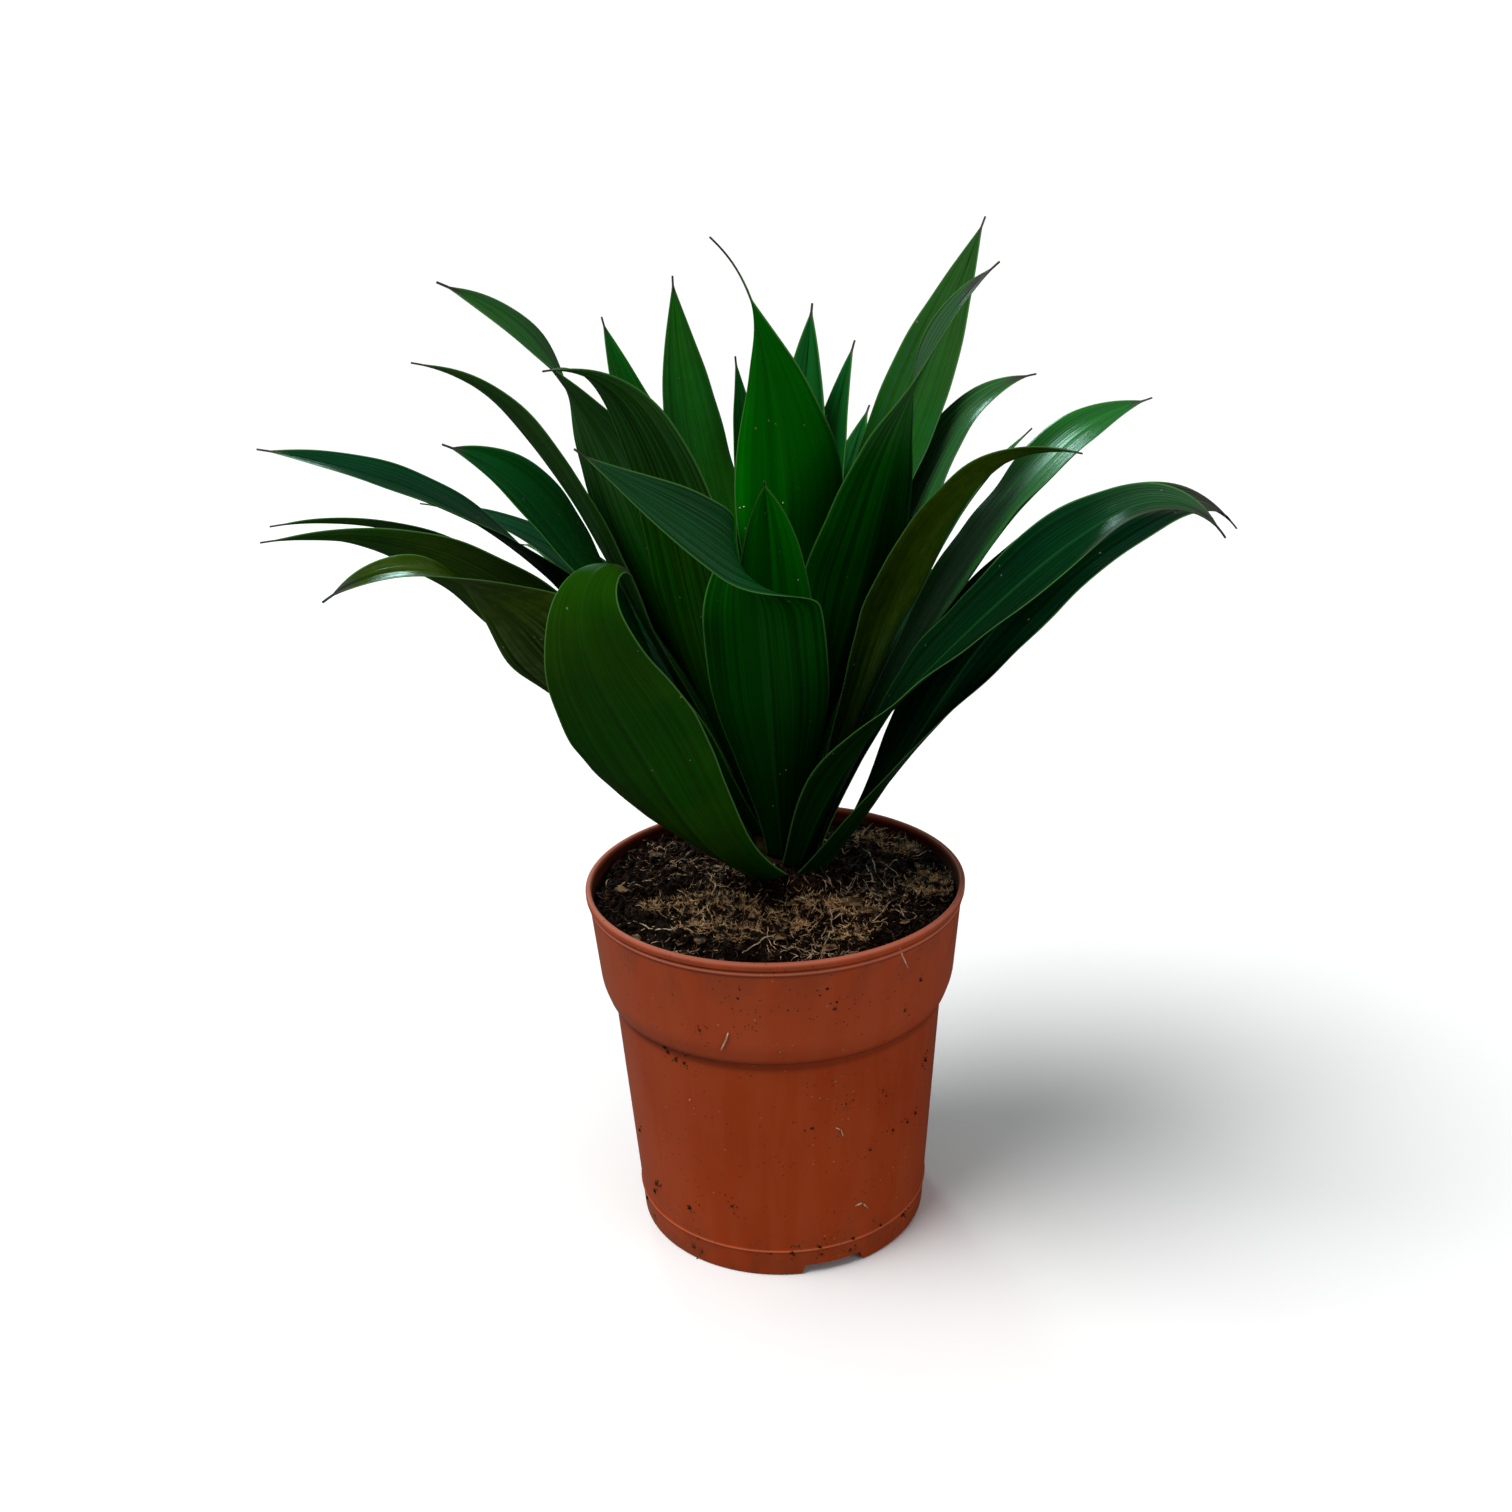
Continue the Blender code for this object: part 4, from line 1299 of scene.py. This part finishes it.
def half_width(leaf, t):
    """Half the blade's width at each step."""
    widest = leaf.width * MM / 2
    rise = np.clip(t / leaf.broad, 0, 1)
    rise = rise * rise * (3 - 2 * rise)
    foot = min(leaf.clasp * cane_radius(leaf.height * MM), widest * FOOT_LIMIT)
    body = foot + (widest - foot) * rise
    fall = np.clip((t - leaf.broad) / (leaf.drip - leaf.broad), 0, 1)
    thread = THREAD_HALF_WIDTH * (2.6 - 2.2 * t)
    return np.maximum(body * (1 - fall**TIP_CURVE), thread)


def spine(leaf, t):
    """Rib points, and the side and inward directions of the blade at each."""
    lean = np.radians(spread(leaf.lean, t))
    heading = np.radians(leaf.heading + spread(leaf.swing, t))
    along = np.stack([np.sin(lean) * np.cos(heading), np.sin(lean) * np.sin(heading), np.cos(lean)], 1)
    middle = (along[1:] + along[:-1]) / 2
    out = cane_radius(leaf.height * MM) + CLASP_GAP + LEAF_THICKNESS / 2
    angle = math.radians(leaf.heading)
    x, y = CANE_X + out * math.cos(angle), CANE_Y + out * math.sin(angle)
    start = np.array([x, y, SOIL_Z + leaf.height * MM])
    step = leaf.length * MM / (len(t) - 1)
    path = start + np.vstack([np.zeros(3), np.cumsum(middle * step, axis=0)])
    side = np.stack([-np.sin(heading), np.cos(heading), np.zeros_like(heading)], 1)
    inward = np.cross(along, side)
    roll = np.radians(spread(leaf.roll, t))[:, None]
    turn, hold = np.sin(roll), np.cos(roll)
    return path, hold * side + turn * inward, hold * inward - turn * side


print("cane radius half way up:", cane_radius(CANE_ABOVE_SOIL / 2))

# %% [markdown]
# ## The blade's section
# Across, a leaf is a shallow gutter with a grooved midrib above and a keel below, and its margins
# ripple a little. Columns of points crowd at the rib and the margins, where the shape changes
# fastest. The upper and under faces get separate finishes, because one is glossy and blue-green
# and the other matt and olive.

# %% Blade surface
HALF_COLUMNS = (0.0, 0.035, 0.09, 0.18, 0.30, 0.42, 0.54, 0.66, 0.78, 0.88, 0.95, 1.0)
COLUMNS = np.array([-u for u in HALF_COLUMNS[:0:-1]] + list(HALF_COLUMNS))
GUTTER_AT = (0.0, 0.25, 0.6, 1.0)
THROAT_CUP = math.radians(35)
TIP_CUP = math.radians(25)
WAVE_SHARE = 0.05
WAVES = 2.5
WAVE_SKEW = 1.5
WAVE_STEP = 2.4
RIPPLE_SHARE = 0.008
RIPPLES = 9
CROSS_RIPPLES = 41
SLIM_BELOW = 4 * MM
KEEL = 0.45 * MM
KEEL_WIDTH = 0.07
BLADE_THICKNESS = 0.5 * MM
EDGE_THICKNESS = 0.22 * MM


def blade_surface(leaf, number):
    """Middle surface, its unit normals, and how far along and across each point lies."""
    t = np.linspace(0, 1, STATIONS)
    path, side, inward = spine(leaf, t)
    half = half_width(leaf, t)
    clasp = half[0] / (cane_radius(leaf.height * MM) + GAP)
    gutter = np.interp(t, GUTTER_AT, (clasp, THROAT_CUP, math.radians(leaf.cup), TIP_CUP))
    u = COLUMNS
    angle = gutter[:, None] * u
    radius = (half / gutter)[:, None]
    lift = radius * (1 - np.cos(angle))
    turn = 2 * math.pi * WAVES * t[:, None] + number * WAVE_STEP + WAVE_SKEW * u
    free = np.clip(t[:, None] / GUTTER_AT[1] - 1, 0, 1)
    lift = lift + WAVE_SHARE * half[:, None] * u**2 * np.sin(turn) * free
    ripple = np.sin(2 * math.pi * RIPPLES * t[:, None] + 3 * number + 2 * u)
    ripple = ripple + np.sin(CROSS_RIPPLES * t[:, None] - 5 * u)
    lift = lift + RIPPLE_SHARE * half[:, None] * np.abs(u) ** 3 * ripple * free
    slim = np.clip(half / SLIM_BELOW, 0, 1)[:, None]
    lift = lift - KEEL * slim * np.exp(-((u / KEEL_WIDTH) ** 2))
    across = radius * np.sin(angle)
    surface = path[:, None] + across[..., None] * side[:, None] + lift[..., None] * inward[:, None]
    normal = np.cross(np.gradient(surface, axis=0), np.gradient(surface, axis=1))
    normal /= np.linalg.norm(normal, axis=2, keepdims=True)
    return surface, normal, t, half


print("columns:", len(COLUMNS), "stations:", STATIONS)

# %% Blade faces


def blade_faces(rows, columns):
    """Upper faces, under faces and the rim between them, all turned outward."""
    count = rows * columns
    upper, under = [], []
    for i in range(rows - 1):
        for j in range(columns - 1):
            a = i * columns + j
            b, c, d = a + 1, a + columns + 1, a + columns
            upper.append((a, d, c, b))
            under.append((count + a, count + b, count + c, count + d))
    rim = list(range(columns))
    rim += [i * columns + columns - 1 for i in range(1, rows)]
    rim += [(rows - 1) * columns + j for j in range(columns - 2, -1, -1)]
    rim += [i * columns for i in range(rows - 2, 0, -1)]
    edge = [(a, b, count + b, count + a) for a, b in zip(rim, rim[1:] + rim[:1])]
    return upper, under, edge


print("faces of a blade:", sum(len(part) for part in blade_faces(STATIONS, len(COLUMNS))))

# %% [markdown]
# ## Leaf finishes
# The look of a leaf is mostly its veins. They run side by side from foot to tip, so the pattern
# must be stretched along the blade and squeezed across it. The mesh carries a UV map for that,
# **blade**, which runs from 0 to 1 across and along. Noise that is squeezed hard across the blade
# and hardly along it gives lines, bands and hairs.

# %% Vein group
VEIN_KINDS = ((34, 1.3, 0.44, 0.60), (9, 0.7, 0.36, 0.66), (110, 2.0, 0.35, 0.65))


def build_veins():
    sockets = [("Blade", None), ("Seed", 0.0)]
    tree, given, result = new_group("veins", sockets, ["Lines", "Bands", "Hair"])
    axes = axes_of(tree, given.outputs[0])
    seed = times(tree, given.outputs[1], 37.0)
    for out, (wide, long, low, high) in enumerate(VEIN_KINDS):
        squeezed = {0: times(tree, axes[0], wide), 1: times(tree, axes[1], long), 2: seed}
        place = node(tree, "ShaderNodeCombineXYZ", squeezed).outputs[0]
        tree.links.new(between(tree, grain(tree, place, 1.0, detail=1.5), low, high), result.inputs[out])
    return tree


VEINS = build_veins()
print("vein masks:", [socket.name for socket in VEINS.nodes["Group Output"].inputs if socket.name])

# %% [markdown]
# ## One recipe for both faces
# The two faces differ in colour and gloss and share all the rest, so one recipe makes both. It
# lays the colours one over another: the ground by age, bands and lines, blotches on old leaves,
# painted shade toward the foot, painted sheen in streaks, the rib, the pale margin with a painted
# highlight along it, dots, and last the dry tip. The mesh tells each leaf's story. The colour
# **tone** holds its youth, its age, a seed and the depth of its stripes. **dry** and **shade** say
# where the tip has withered and where other leaves keep the light off, and one more value says
# where a painted sheen lies. **margin** is the distance from the edge in centimetres, so that the
# pale margin and its painted highlight stay equally thin where the blade narrows.

# %% Leaf finish
DARKER_GREEN = (0.36, 0.42, 0.36)
DEEP_SHADE = (0.22, 0.25, 0.30)
TAN_LINE = (0.095, 0.090, 0.040)
OLIVE_BLOTCH = (0.048, 0.092, 0.0)
DARK_BLOTCH = (0.012, 0.050, 0.0)
# The colour of the painted sheen.
PAINTED_SHEEN_COLOUR = (0.105, 0.200, 0.095)
RIB_GREEN = (0.030, 0.15, 0.030)
# A pale margin, partly a painted highlight along the edge.
PALE_MARGIN_AND_EDGE_HIGHLIGHT = (0.085, 0.24, 0.055)
PALE_DOT = (0.25, 0.27, 0.15)
DRY_DARK = (0.022, 0.026, 0.020)
DRY_PALE = (0.085, 0.086, 0.068)


def written(tree, name, output="Fac"):
    """Reads what the mesh's points carry under a name."""
    return node(tree, "ShaderNodeAttribute", attribute_name=name).outputs[output]


def ground_colour(tree, place, veins, age, striped, deep, bright, olive, stripe):
    """The leaf's green by age, with its bands, lines and blotches. Also gives the darker green."""
    colour = blend(tree, age[0], deep, bright)
    colour = blend(tree, age[1], colour, olive)
    dark = blend(tree, 1.0, colour, DARKER_GREEN, "MULTIPLY")
    colour = tint(tree, colour, veins[1], striped, dark)
    lines = times(tree, veins[0], times(tree, striped, 0.6))
    colour = blend(tree, lines, colour, stripe)
    colour = tint(tree, colour, lines, maths(tree, "POWER", age[1], 2.0), TAN_LINE)
    for scale, sharp, share, paint in ((24.0, 0.8, 0.9, OLIVE_BLOTCH), (230.0, 0.85, 0.45, DARK_BLOTCH)):
        colour = tint(tree, colour, mottle(tree, place, scale, sharp), times(tree, age[1], share), paint)
    return colour, dark


def leaf_finish(name, deep, bright, olive, stripe, rough, gloss, ribbed):
    """A leaf face: ground colour by age, lengthwise bands and lines, rib, margin and dry tip."""
    material, tree, shader = new_finish(name, Specular_IOR_Level=gloss)
    blade = node(tree, "ShaderNodeUVMap", uv_map="blade").outputs[0]
    place = own_place(tree)
    age = node(tree, "ShaderNodeSeparateColor", {0: written(tree, "tone", "Color")}).outputs
    striped = written(tree, "tone", "Alpha")
    veins = use_group(tree, VEINS, {"Blade": blade, "Seed": age[2]})
    colour, dark = ground_colour(tree, place, veins, age, striped, deep, bright, olive, stripe)
    cloud = mottle(tree, place, scale=45.0, sharp=0.6)
    across, up_blade = axes_of(tree, blade)[:2]
    # A random cloud and the hairs darken the green a little, and painted shade darkens each blade toward
    # its foot.
    for mask, share in ((cloud, 0.2), (veins[2], 0.30), (between(tree, up_blade, 0.45, 0.0), 0.7)):
        colour = tint(tree, colour, mask, share, dark)
    # Painted sheen in streaks along the veins, as strong as the mesh says.
    streaks = plus(tree, times(tree, veins[0], 0.75), 0.25)
    colour = tint(tree, colour, streaks, written(tree, "painted_sheen"), PAINTED_SHEEN_COLOUR)
    colour = blend(tree, written(tree, "shade"), colour, DEEP_SHADE, "MULTIPLY")
    from_rib = maths(tree, "ABSOLUTE", minus(tree, across, 0.5))
    young = minus(tree, ribbed, times(tree, age[1], ribbed * 0.8))
    colour = tint(tree, colour, between(tree, from_rib, 0.028, 0.010), young, RIB_GREEN)
    # The pale margin, partly a painted highlight along the edge.
    edge = between(tree, written(tree, "margin"), 0.055, 0.02)
    colour = tint(tree, colour, edge, 0.65, PALE_MARGIN_AND_EDGE_HIGHLIGHT)
    colour = tint(tree, colour, specks(tree, place, scale=520.0, size=0.22, share=0.02), 0.5, PALE_DOT)
    dry = written(tree, "dry")
    colour = blend(tree, dry, colour, blend(tree, veins[0], DRY_DARK, DRY_PALE))
    level = plus(tree, times(tree, cloud, 0.08), rough)
    level = minus(tree, level, times(tree, veins[0], 0.08))
    level = plus(tree, level, times(tree, dry, 0.25))
    height = plus(tree, times(tree, veins[0], 0.75), times(tree, veins[2], 0.15))
    close_finish(tree, shader, colour, level, height, strength=0.35, depth=0.12 * MM)
    return material


UPPER_FACE = leaf_finish(
    "leaf_upper", deep=(0.001, 0.031, 0.012), bright=(0.020, 0.400, 0.006),
    olive=(0.016, 0.060, 0.004), stripe=(0.008, 0.105, 0.045), rough=0.21, gloss=0.24, ribbed=0.22,
)
UNDER_FACE = leaf_finish(
    "leaf_under", deep=(0.0005, 0.055, 0.0005), bright=(0.001, 0.235, 0.001),
    olive=(0.023, 0.060, 0.0003), stripe=(0.003, 0.150, 0.001), rough=0.45, gloss=0.05, ribbed=0.10,
)
print("leaf finishes:", UPPER_FACE.name, UNDER_FACE.name)

# %% [markdown]
# ## Every leaf has its own story
# No two leaves of the plant look alike. Young ones in the heart are a bright green, old ones
# below are olive, some are strongly striped, and some tips have dried for a centimetre or more.
# Leaf 21 is made brighter still, as painted light on a leaf that lies in shade. The tables below
# give these by leaf number. A painted sheen or a shade has two values. The first is the place
# along the blade where it begins or ends, and the second is its strength.

# %% Tables of the leaves
OLIVE_LEAVES = {
    1: 0.28, 4: 0.95, 7: 0.5, 19: 0.85, 18: 0.2, 20: 0.3, 11: 0.4, 29: 0.3, 30: 0.25, 23: 0.15,
}
# Brightness follows a leaf's youth. Leaf 21's is raised further, as painted light on a leaf that lies in
# shade.
BRIGHT_LEAVES = {
    8: 0.08, 9: 0.10, 14: 0.22, 15: 0.40, 18: 0.10, 20: 0.3, 21: 1.0, 22: 0.5, 23: 0.45, 24: 0.6,
    25: 0.25, 26: 0.7, 27: 0.3, 28: 0.18, 29: 0.35, 30: 0.9, 31: 0.3, 32: 0.3, 33: 0.3, 34: 0.72,
    35: 0.5, 36: 0.6, 37: 0.6,
}
PLAIN_BRIGHTNESS = 0.05
DRY_TIPS = {21: 0.012, 2: 0.16, 8: 0.05, 34: 0.10, 19: 0.05, 25: 0.06, 28: 0.08, 4: 0.05}
PLAIN_DRY_TIP = 0.035
# Where a painted sheen begins along the blade, and its strength.
PAINTED_SHEEN_LEAVES = {
    28: (0.62, 0.45), 20: (0.20, 0.34), 23: (0.45, 0.36), 18: (0.60, 0.20), 29: (0.60, 0.12),
    8: (0.80, 0.50), 9: (0.60, 0.14), 25: (0.10, 0.42), 15: (0.10, 0.20),
}
SHADED_LEAVES = {2: (1.2, 0.8), 8: (0.98, 0.85), 15: (0.80, 0.15), 9: (0.5, 0.5)}
STREAKED_LEAF = 8
STRIPED_LEAVES = {1: 0.30, 4: 1.2, 23: 1.1, 20: 1.1, 18: 1.3, 34: 0.75, 9: 0.6, 19: 1.1}
PLAIN_STRIPES = 0.85
SEED_STEP = 0.618
DRY_FADE = 0.5
SHADE_FADE = 0.3
PAINTED_SHEEN_FADE = 0.15
print("leaves with a bloom:", len(PAINTED_SHEEN_LEAVES), "with stripes of their own:", len(STRIPED_LEAVES))

# %% Map and story of a blade


def write_map(mesh, u, v):
    """Writes the blade's own map, in the order of the mesh's face corners."""
    corners = np.empty(len(mesh.loops), np.int32)
    mesh.loops.foreach_get("vertex_index", corners)
    pairs = np.stack([np.tile(u.ravel(), 2), np.tile(v.ravel(), 2)], 1)
    layer = mesh.uv_layers.new(name="blade")
    layer.data.foreach_set("uv", pairs[corners].astype(np.float32).ravel())


def write_story(mesh, number, v, half):
    """Writes the tone, the dryness, the shade, the painted sheen and the margin on the mesh's points."""
    tone = (
        BRIGHT_LEAVES.get(number, PLAIN_BRIGHTNESS), OLIVE_LEAVES.get(number, 0.0),
        (number * SEED_STEP) % 1, STRIPED_LEAVES.get(number, PLAIN_STRIPES),
    )
    layer = mesh.color_attributes.new("tone", "FLOAT_COLOR", "POINT")
    layer.data.foreach_set("color", np.tile(np.array(tone, np.float32), 2 * v.size))
    reach = DRY_TIPS.get(number, PLAIN_DRY_TIP)
    dry = np.clip((v - 1 + reach * (1.4 - 0.5 * np.abs(COLUMNS))) / (reach * DRY_FADE), 0, 1)
    if number == STREAKED_LEAF:
        near_edge = np.clip((-COLUMNS - 0.72) / 0.15, 0, 1)[None, :]
        dry = np.maximum(dry, 0.8 * near_edge * np.clip((v - 0.78) / 0.05, 0, 1))
    end, depth = SHADED_LEAVES.get(number, (0.0, 0.0))
    shade = depth * np.clip((end - v) / SHADE_FADE, 0, 1)
    # The painted sheen rises from its start toward the tip.
    start, strength = PAINTED_SHEEN_LEAVES.get(number, (0.0, 0.0))
    painted_sheen = strength * np.clip((v - start) / PAINTED_SHEEN_FADE, 0, 1)
    margin = (1 - np.abs(COLUMNS))[None, :] * half[:, None] * 100
    for name, values in (("dry", dry), ("shade", shade), ("painted_sheen", painted_sheen), ("margin", margin)):
        layer = mesh.attributes.new(name, "FLOAT", "POINT")
        layer.data.foreach_set("value", np.tile(values.ravel(), 2).astype(np.float32))


# %% Grow every leaf


def grow_leaf(leaf, number):
    """One leaf: two faces a blade's thickness apart, joined by the rim, with its story."""
    surface, normal, t, half = blade_surface(leaf, number)
    thick = BLADE_THICKNESS + (EDGE_THICKNESS - BLADE_THICKNESS) * COLUMNS**2
    offset = normal * thick[None, :, None] / 2
    points = np.concatenate([(surface + offset).reshape(-1, 3), (surface - offset).reshape(-1, 3)])
    upper, under, edge = blade_faces(*surface.shape[:2])
    faces = upper + under + edge
    piece = link_mesh(f"blade_{number:02d}", points.tolist(), faces, [UPPER_FACE, UNDER_FACE])
    slots = [0] * len(upper) + [1] * (len(under) + len(edge))
    piece.data.polygons.foreach_set("material_index", slots)
    shape = surface.shape[:2]
    u = np.broadcast_to((COLUMNS + 1) / 2, shape)
    v = np.broadcast_to(t[:, None], shape)
    write_map(piece.data, u, v)
    write_story(piece.data, number, v, half)
    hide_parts(f"leaf_{number:02d}")
    return finish_piece(piece)


blades = [grow_leaf(leaf, number) for number, leaf in enumerate(LEAVES, 1)]
print("leaves:", len(blades), "faces:", sum(len(blade.data.polygons) for blade in blades))

# %% [markdown]
# ## Flecks
# A few pale flecks of dust and dried sap lie on the blades, and they keep the green from looking
# too clean. The ray through each fleck's pixel is tried against every leaf, and the nearest hit is
# the place where it lies.

# %% Flecks on the leaves
FLECKS = [
    (783, 503, 0.32), (798, 580, 0.34), (740, 508, 0.42), (744, 507, 0.30), (690, 760, 0.22),
    (786, 770, 0.24), (780, 774, 0.18),
]


def ray_target(mesh):
    """A search tree of the mesh's faces, which a ray can be tried against."""
    points = [tuple(vert.co) for vert in mesh.vertices]
    return BVHTree.FromPolygons(points, [tuple(face.vertices) for face in mesh.polygons])


def build_flecks():
    rng = random.Random(61)
    points, faces = [], []
    targets = [ray_target(blade.data) for blade in blades]
    for across, down, size in FLECKS:
        hits = [target.ray_cast(CAMERA_PLACE, pixel_ray(across, down)) for target in targets]
        hits = [hit for hit in hits if hit[0] is not None]
        if hits:
            nearest = min(hits, key=lambda hit: hit[3])
            add_chunk(points, faces, rng, nearest[0], size * MM, flat=1.2)
    finish = fibre_finish("fleck_finish", dark=(0.26, 0.31, 0.17), light=(0.62, 0.66, 0.48))
    return litter("leaf_flecks", points, faces, finish)


print("fleck faces:", len(build_flecks().data.polygons))

# %% [markdown]
# ## The cane
# The cane hardly shows. Between the lowest leaves it is a pale stub, ringed by the scars of leaves
# that have dropped. It is turned like the pot, with a groove at every scar, and closes to a blunt
# top. Its bark is brown at the soil and greener where it is young.

# %% Cane
CANE_SIDES = 64
CANE_IN_SOIL = 30.0 * MM
SCAR_STEP = 2.6 * MM
SCAR_DEPTH = 0.22 * MM
TOP_BLUNTNESS = 2.2
BARK_INSET = 0.15 * MM
BARK_DARK = (0.030, 0.020, 0.008)
BARK_PALE = (0.12, 0.085, 0.040)
BARK_GREEN = (0.045, 0.13, 0.012)
BARK_CRACK = (0.045, 0.030, 0.015)


def cane_finish():
    material, tree, shader = new_finish("cane_skin", Specular_IOR_Level=0.3)
    place = own_place(tree)
    stretched = node(tree, "ShaderNodeMapping", {0: place, "Scale": (1.0, 1.0, 0.2)}).outputs[0]
    cracks = grain(tree, stretched, 900.0, detail=4.0)
    colour = blend(tree, mottle(tree, place, scale=150.0, sharp=0.7), BARK_DARK, BARK_PALE)
    young = between(tree, axes_of(tree, place)[2], SOIL_Z + 10 * MM, SOIL_Z + 30 * MM)
    colour = tint(tree, colour, young, 0.85, BARK_GREEN)
    colour = tint(tree, colour, cracks, 0.5, BARK_CRACK)
    rough = plus(tree, times(tree, cracks, 0.3), 0.5)
    close_finish(tree, shader, colour, rough, cracks, strength=0.6, depth=0.3 * MM)
    return material


def build_cane():
    heights = np.arange(-CANE_IN_SOIL, CANE_ABOVE_SOIL + CANE_TOP_RADIUS, SCAR_STEP / 6)
    section = [Vector((0.0, heights[0]))]
    for z in heights:
        near_top = max(0.0, z - CANE_ABOVE_SOIL + CANE_TOP_RADIUS)
        closing = math.sqrt(max(0.0, 1 - (near_top / (TOP_BLUNTNESS * CANE_TOP_RADIUS)) ** 2))
        scar = SCAR_DEPTH * abs(math.sin(math.pi * z / SCAR_STEP)) ** 6
        section.append(Vector(((cane_radius(z) - BARK_INSET) * closing - scar, z)))
    section.append(Vector((0.0, heights[-1] + 0.5 * MM)))
    points, faces = turn_section(section, CANE_SIDES)
    points = [(x + CANE_X, y + CANE_Y, z + SOIL_Z) for x, y, z in points]
    cane = link_mesh("ringed_cane", points, faces, [cane_finish()])
    outward(cane, weld=0.001 * MM)
    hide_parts("cane")
    return finish_piece(cane)


print("cane faces:", len(build_cane().data.polygons))
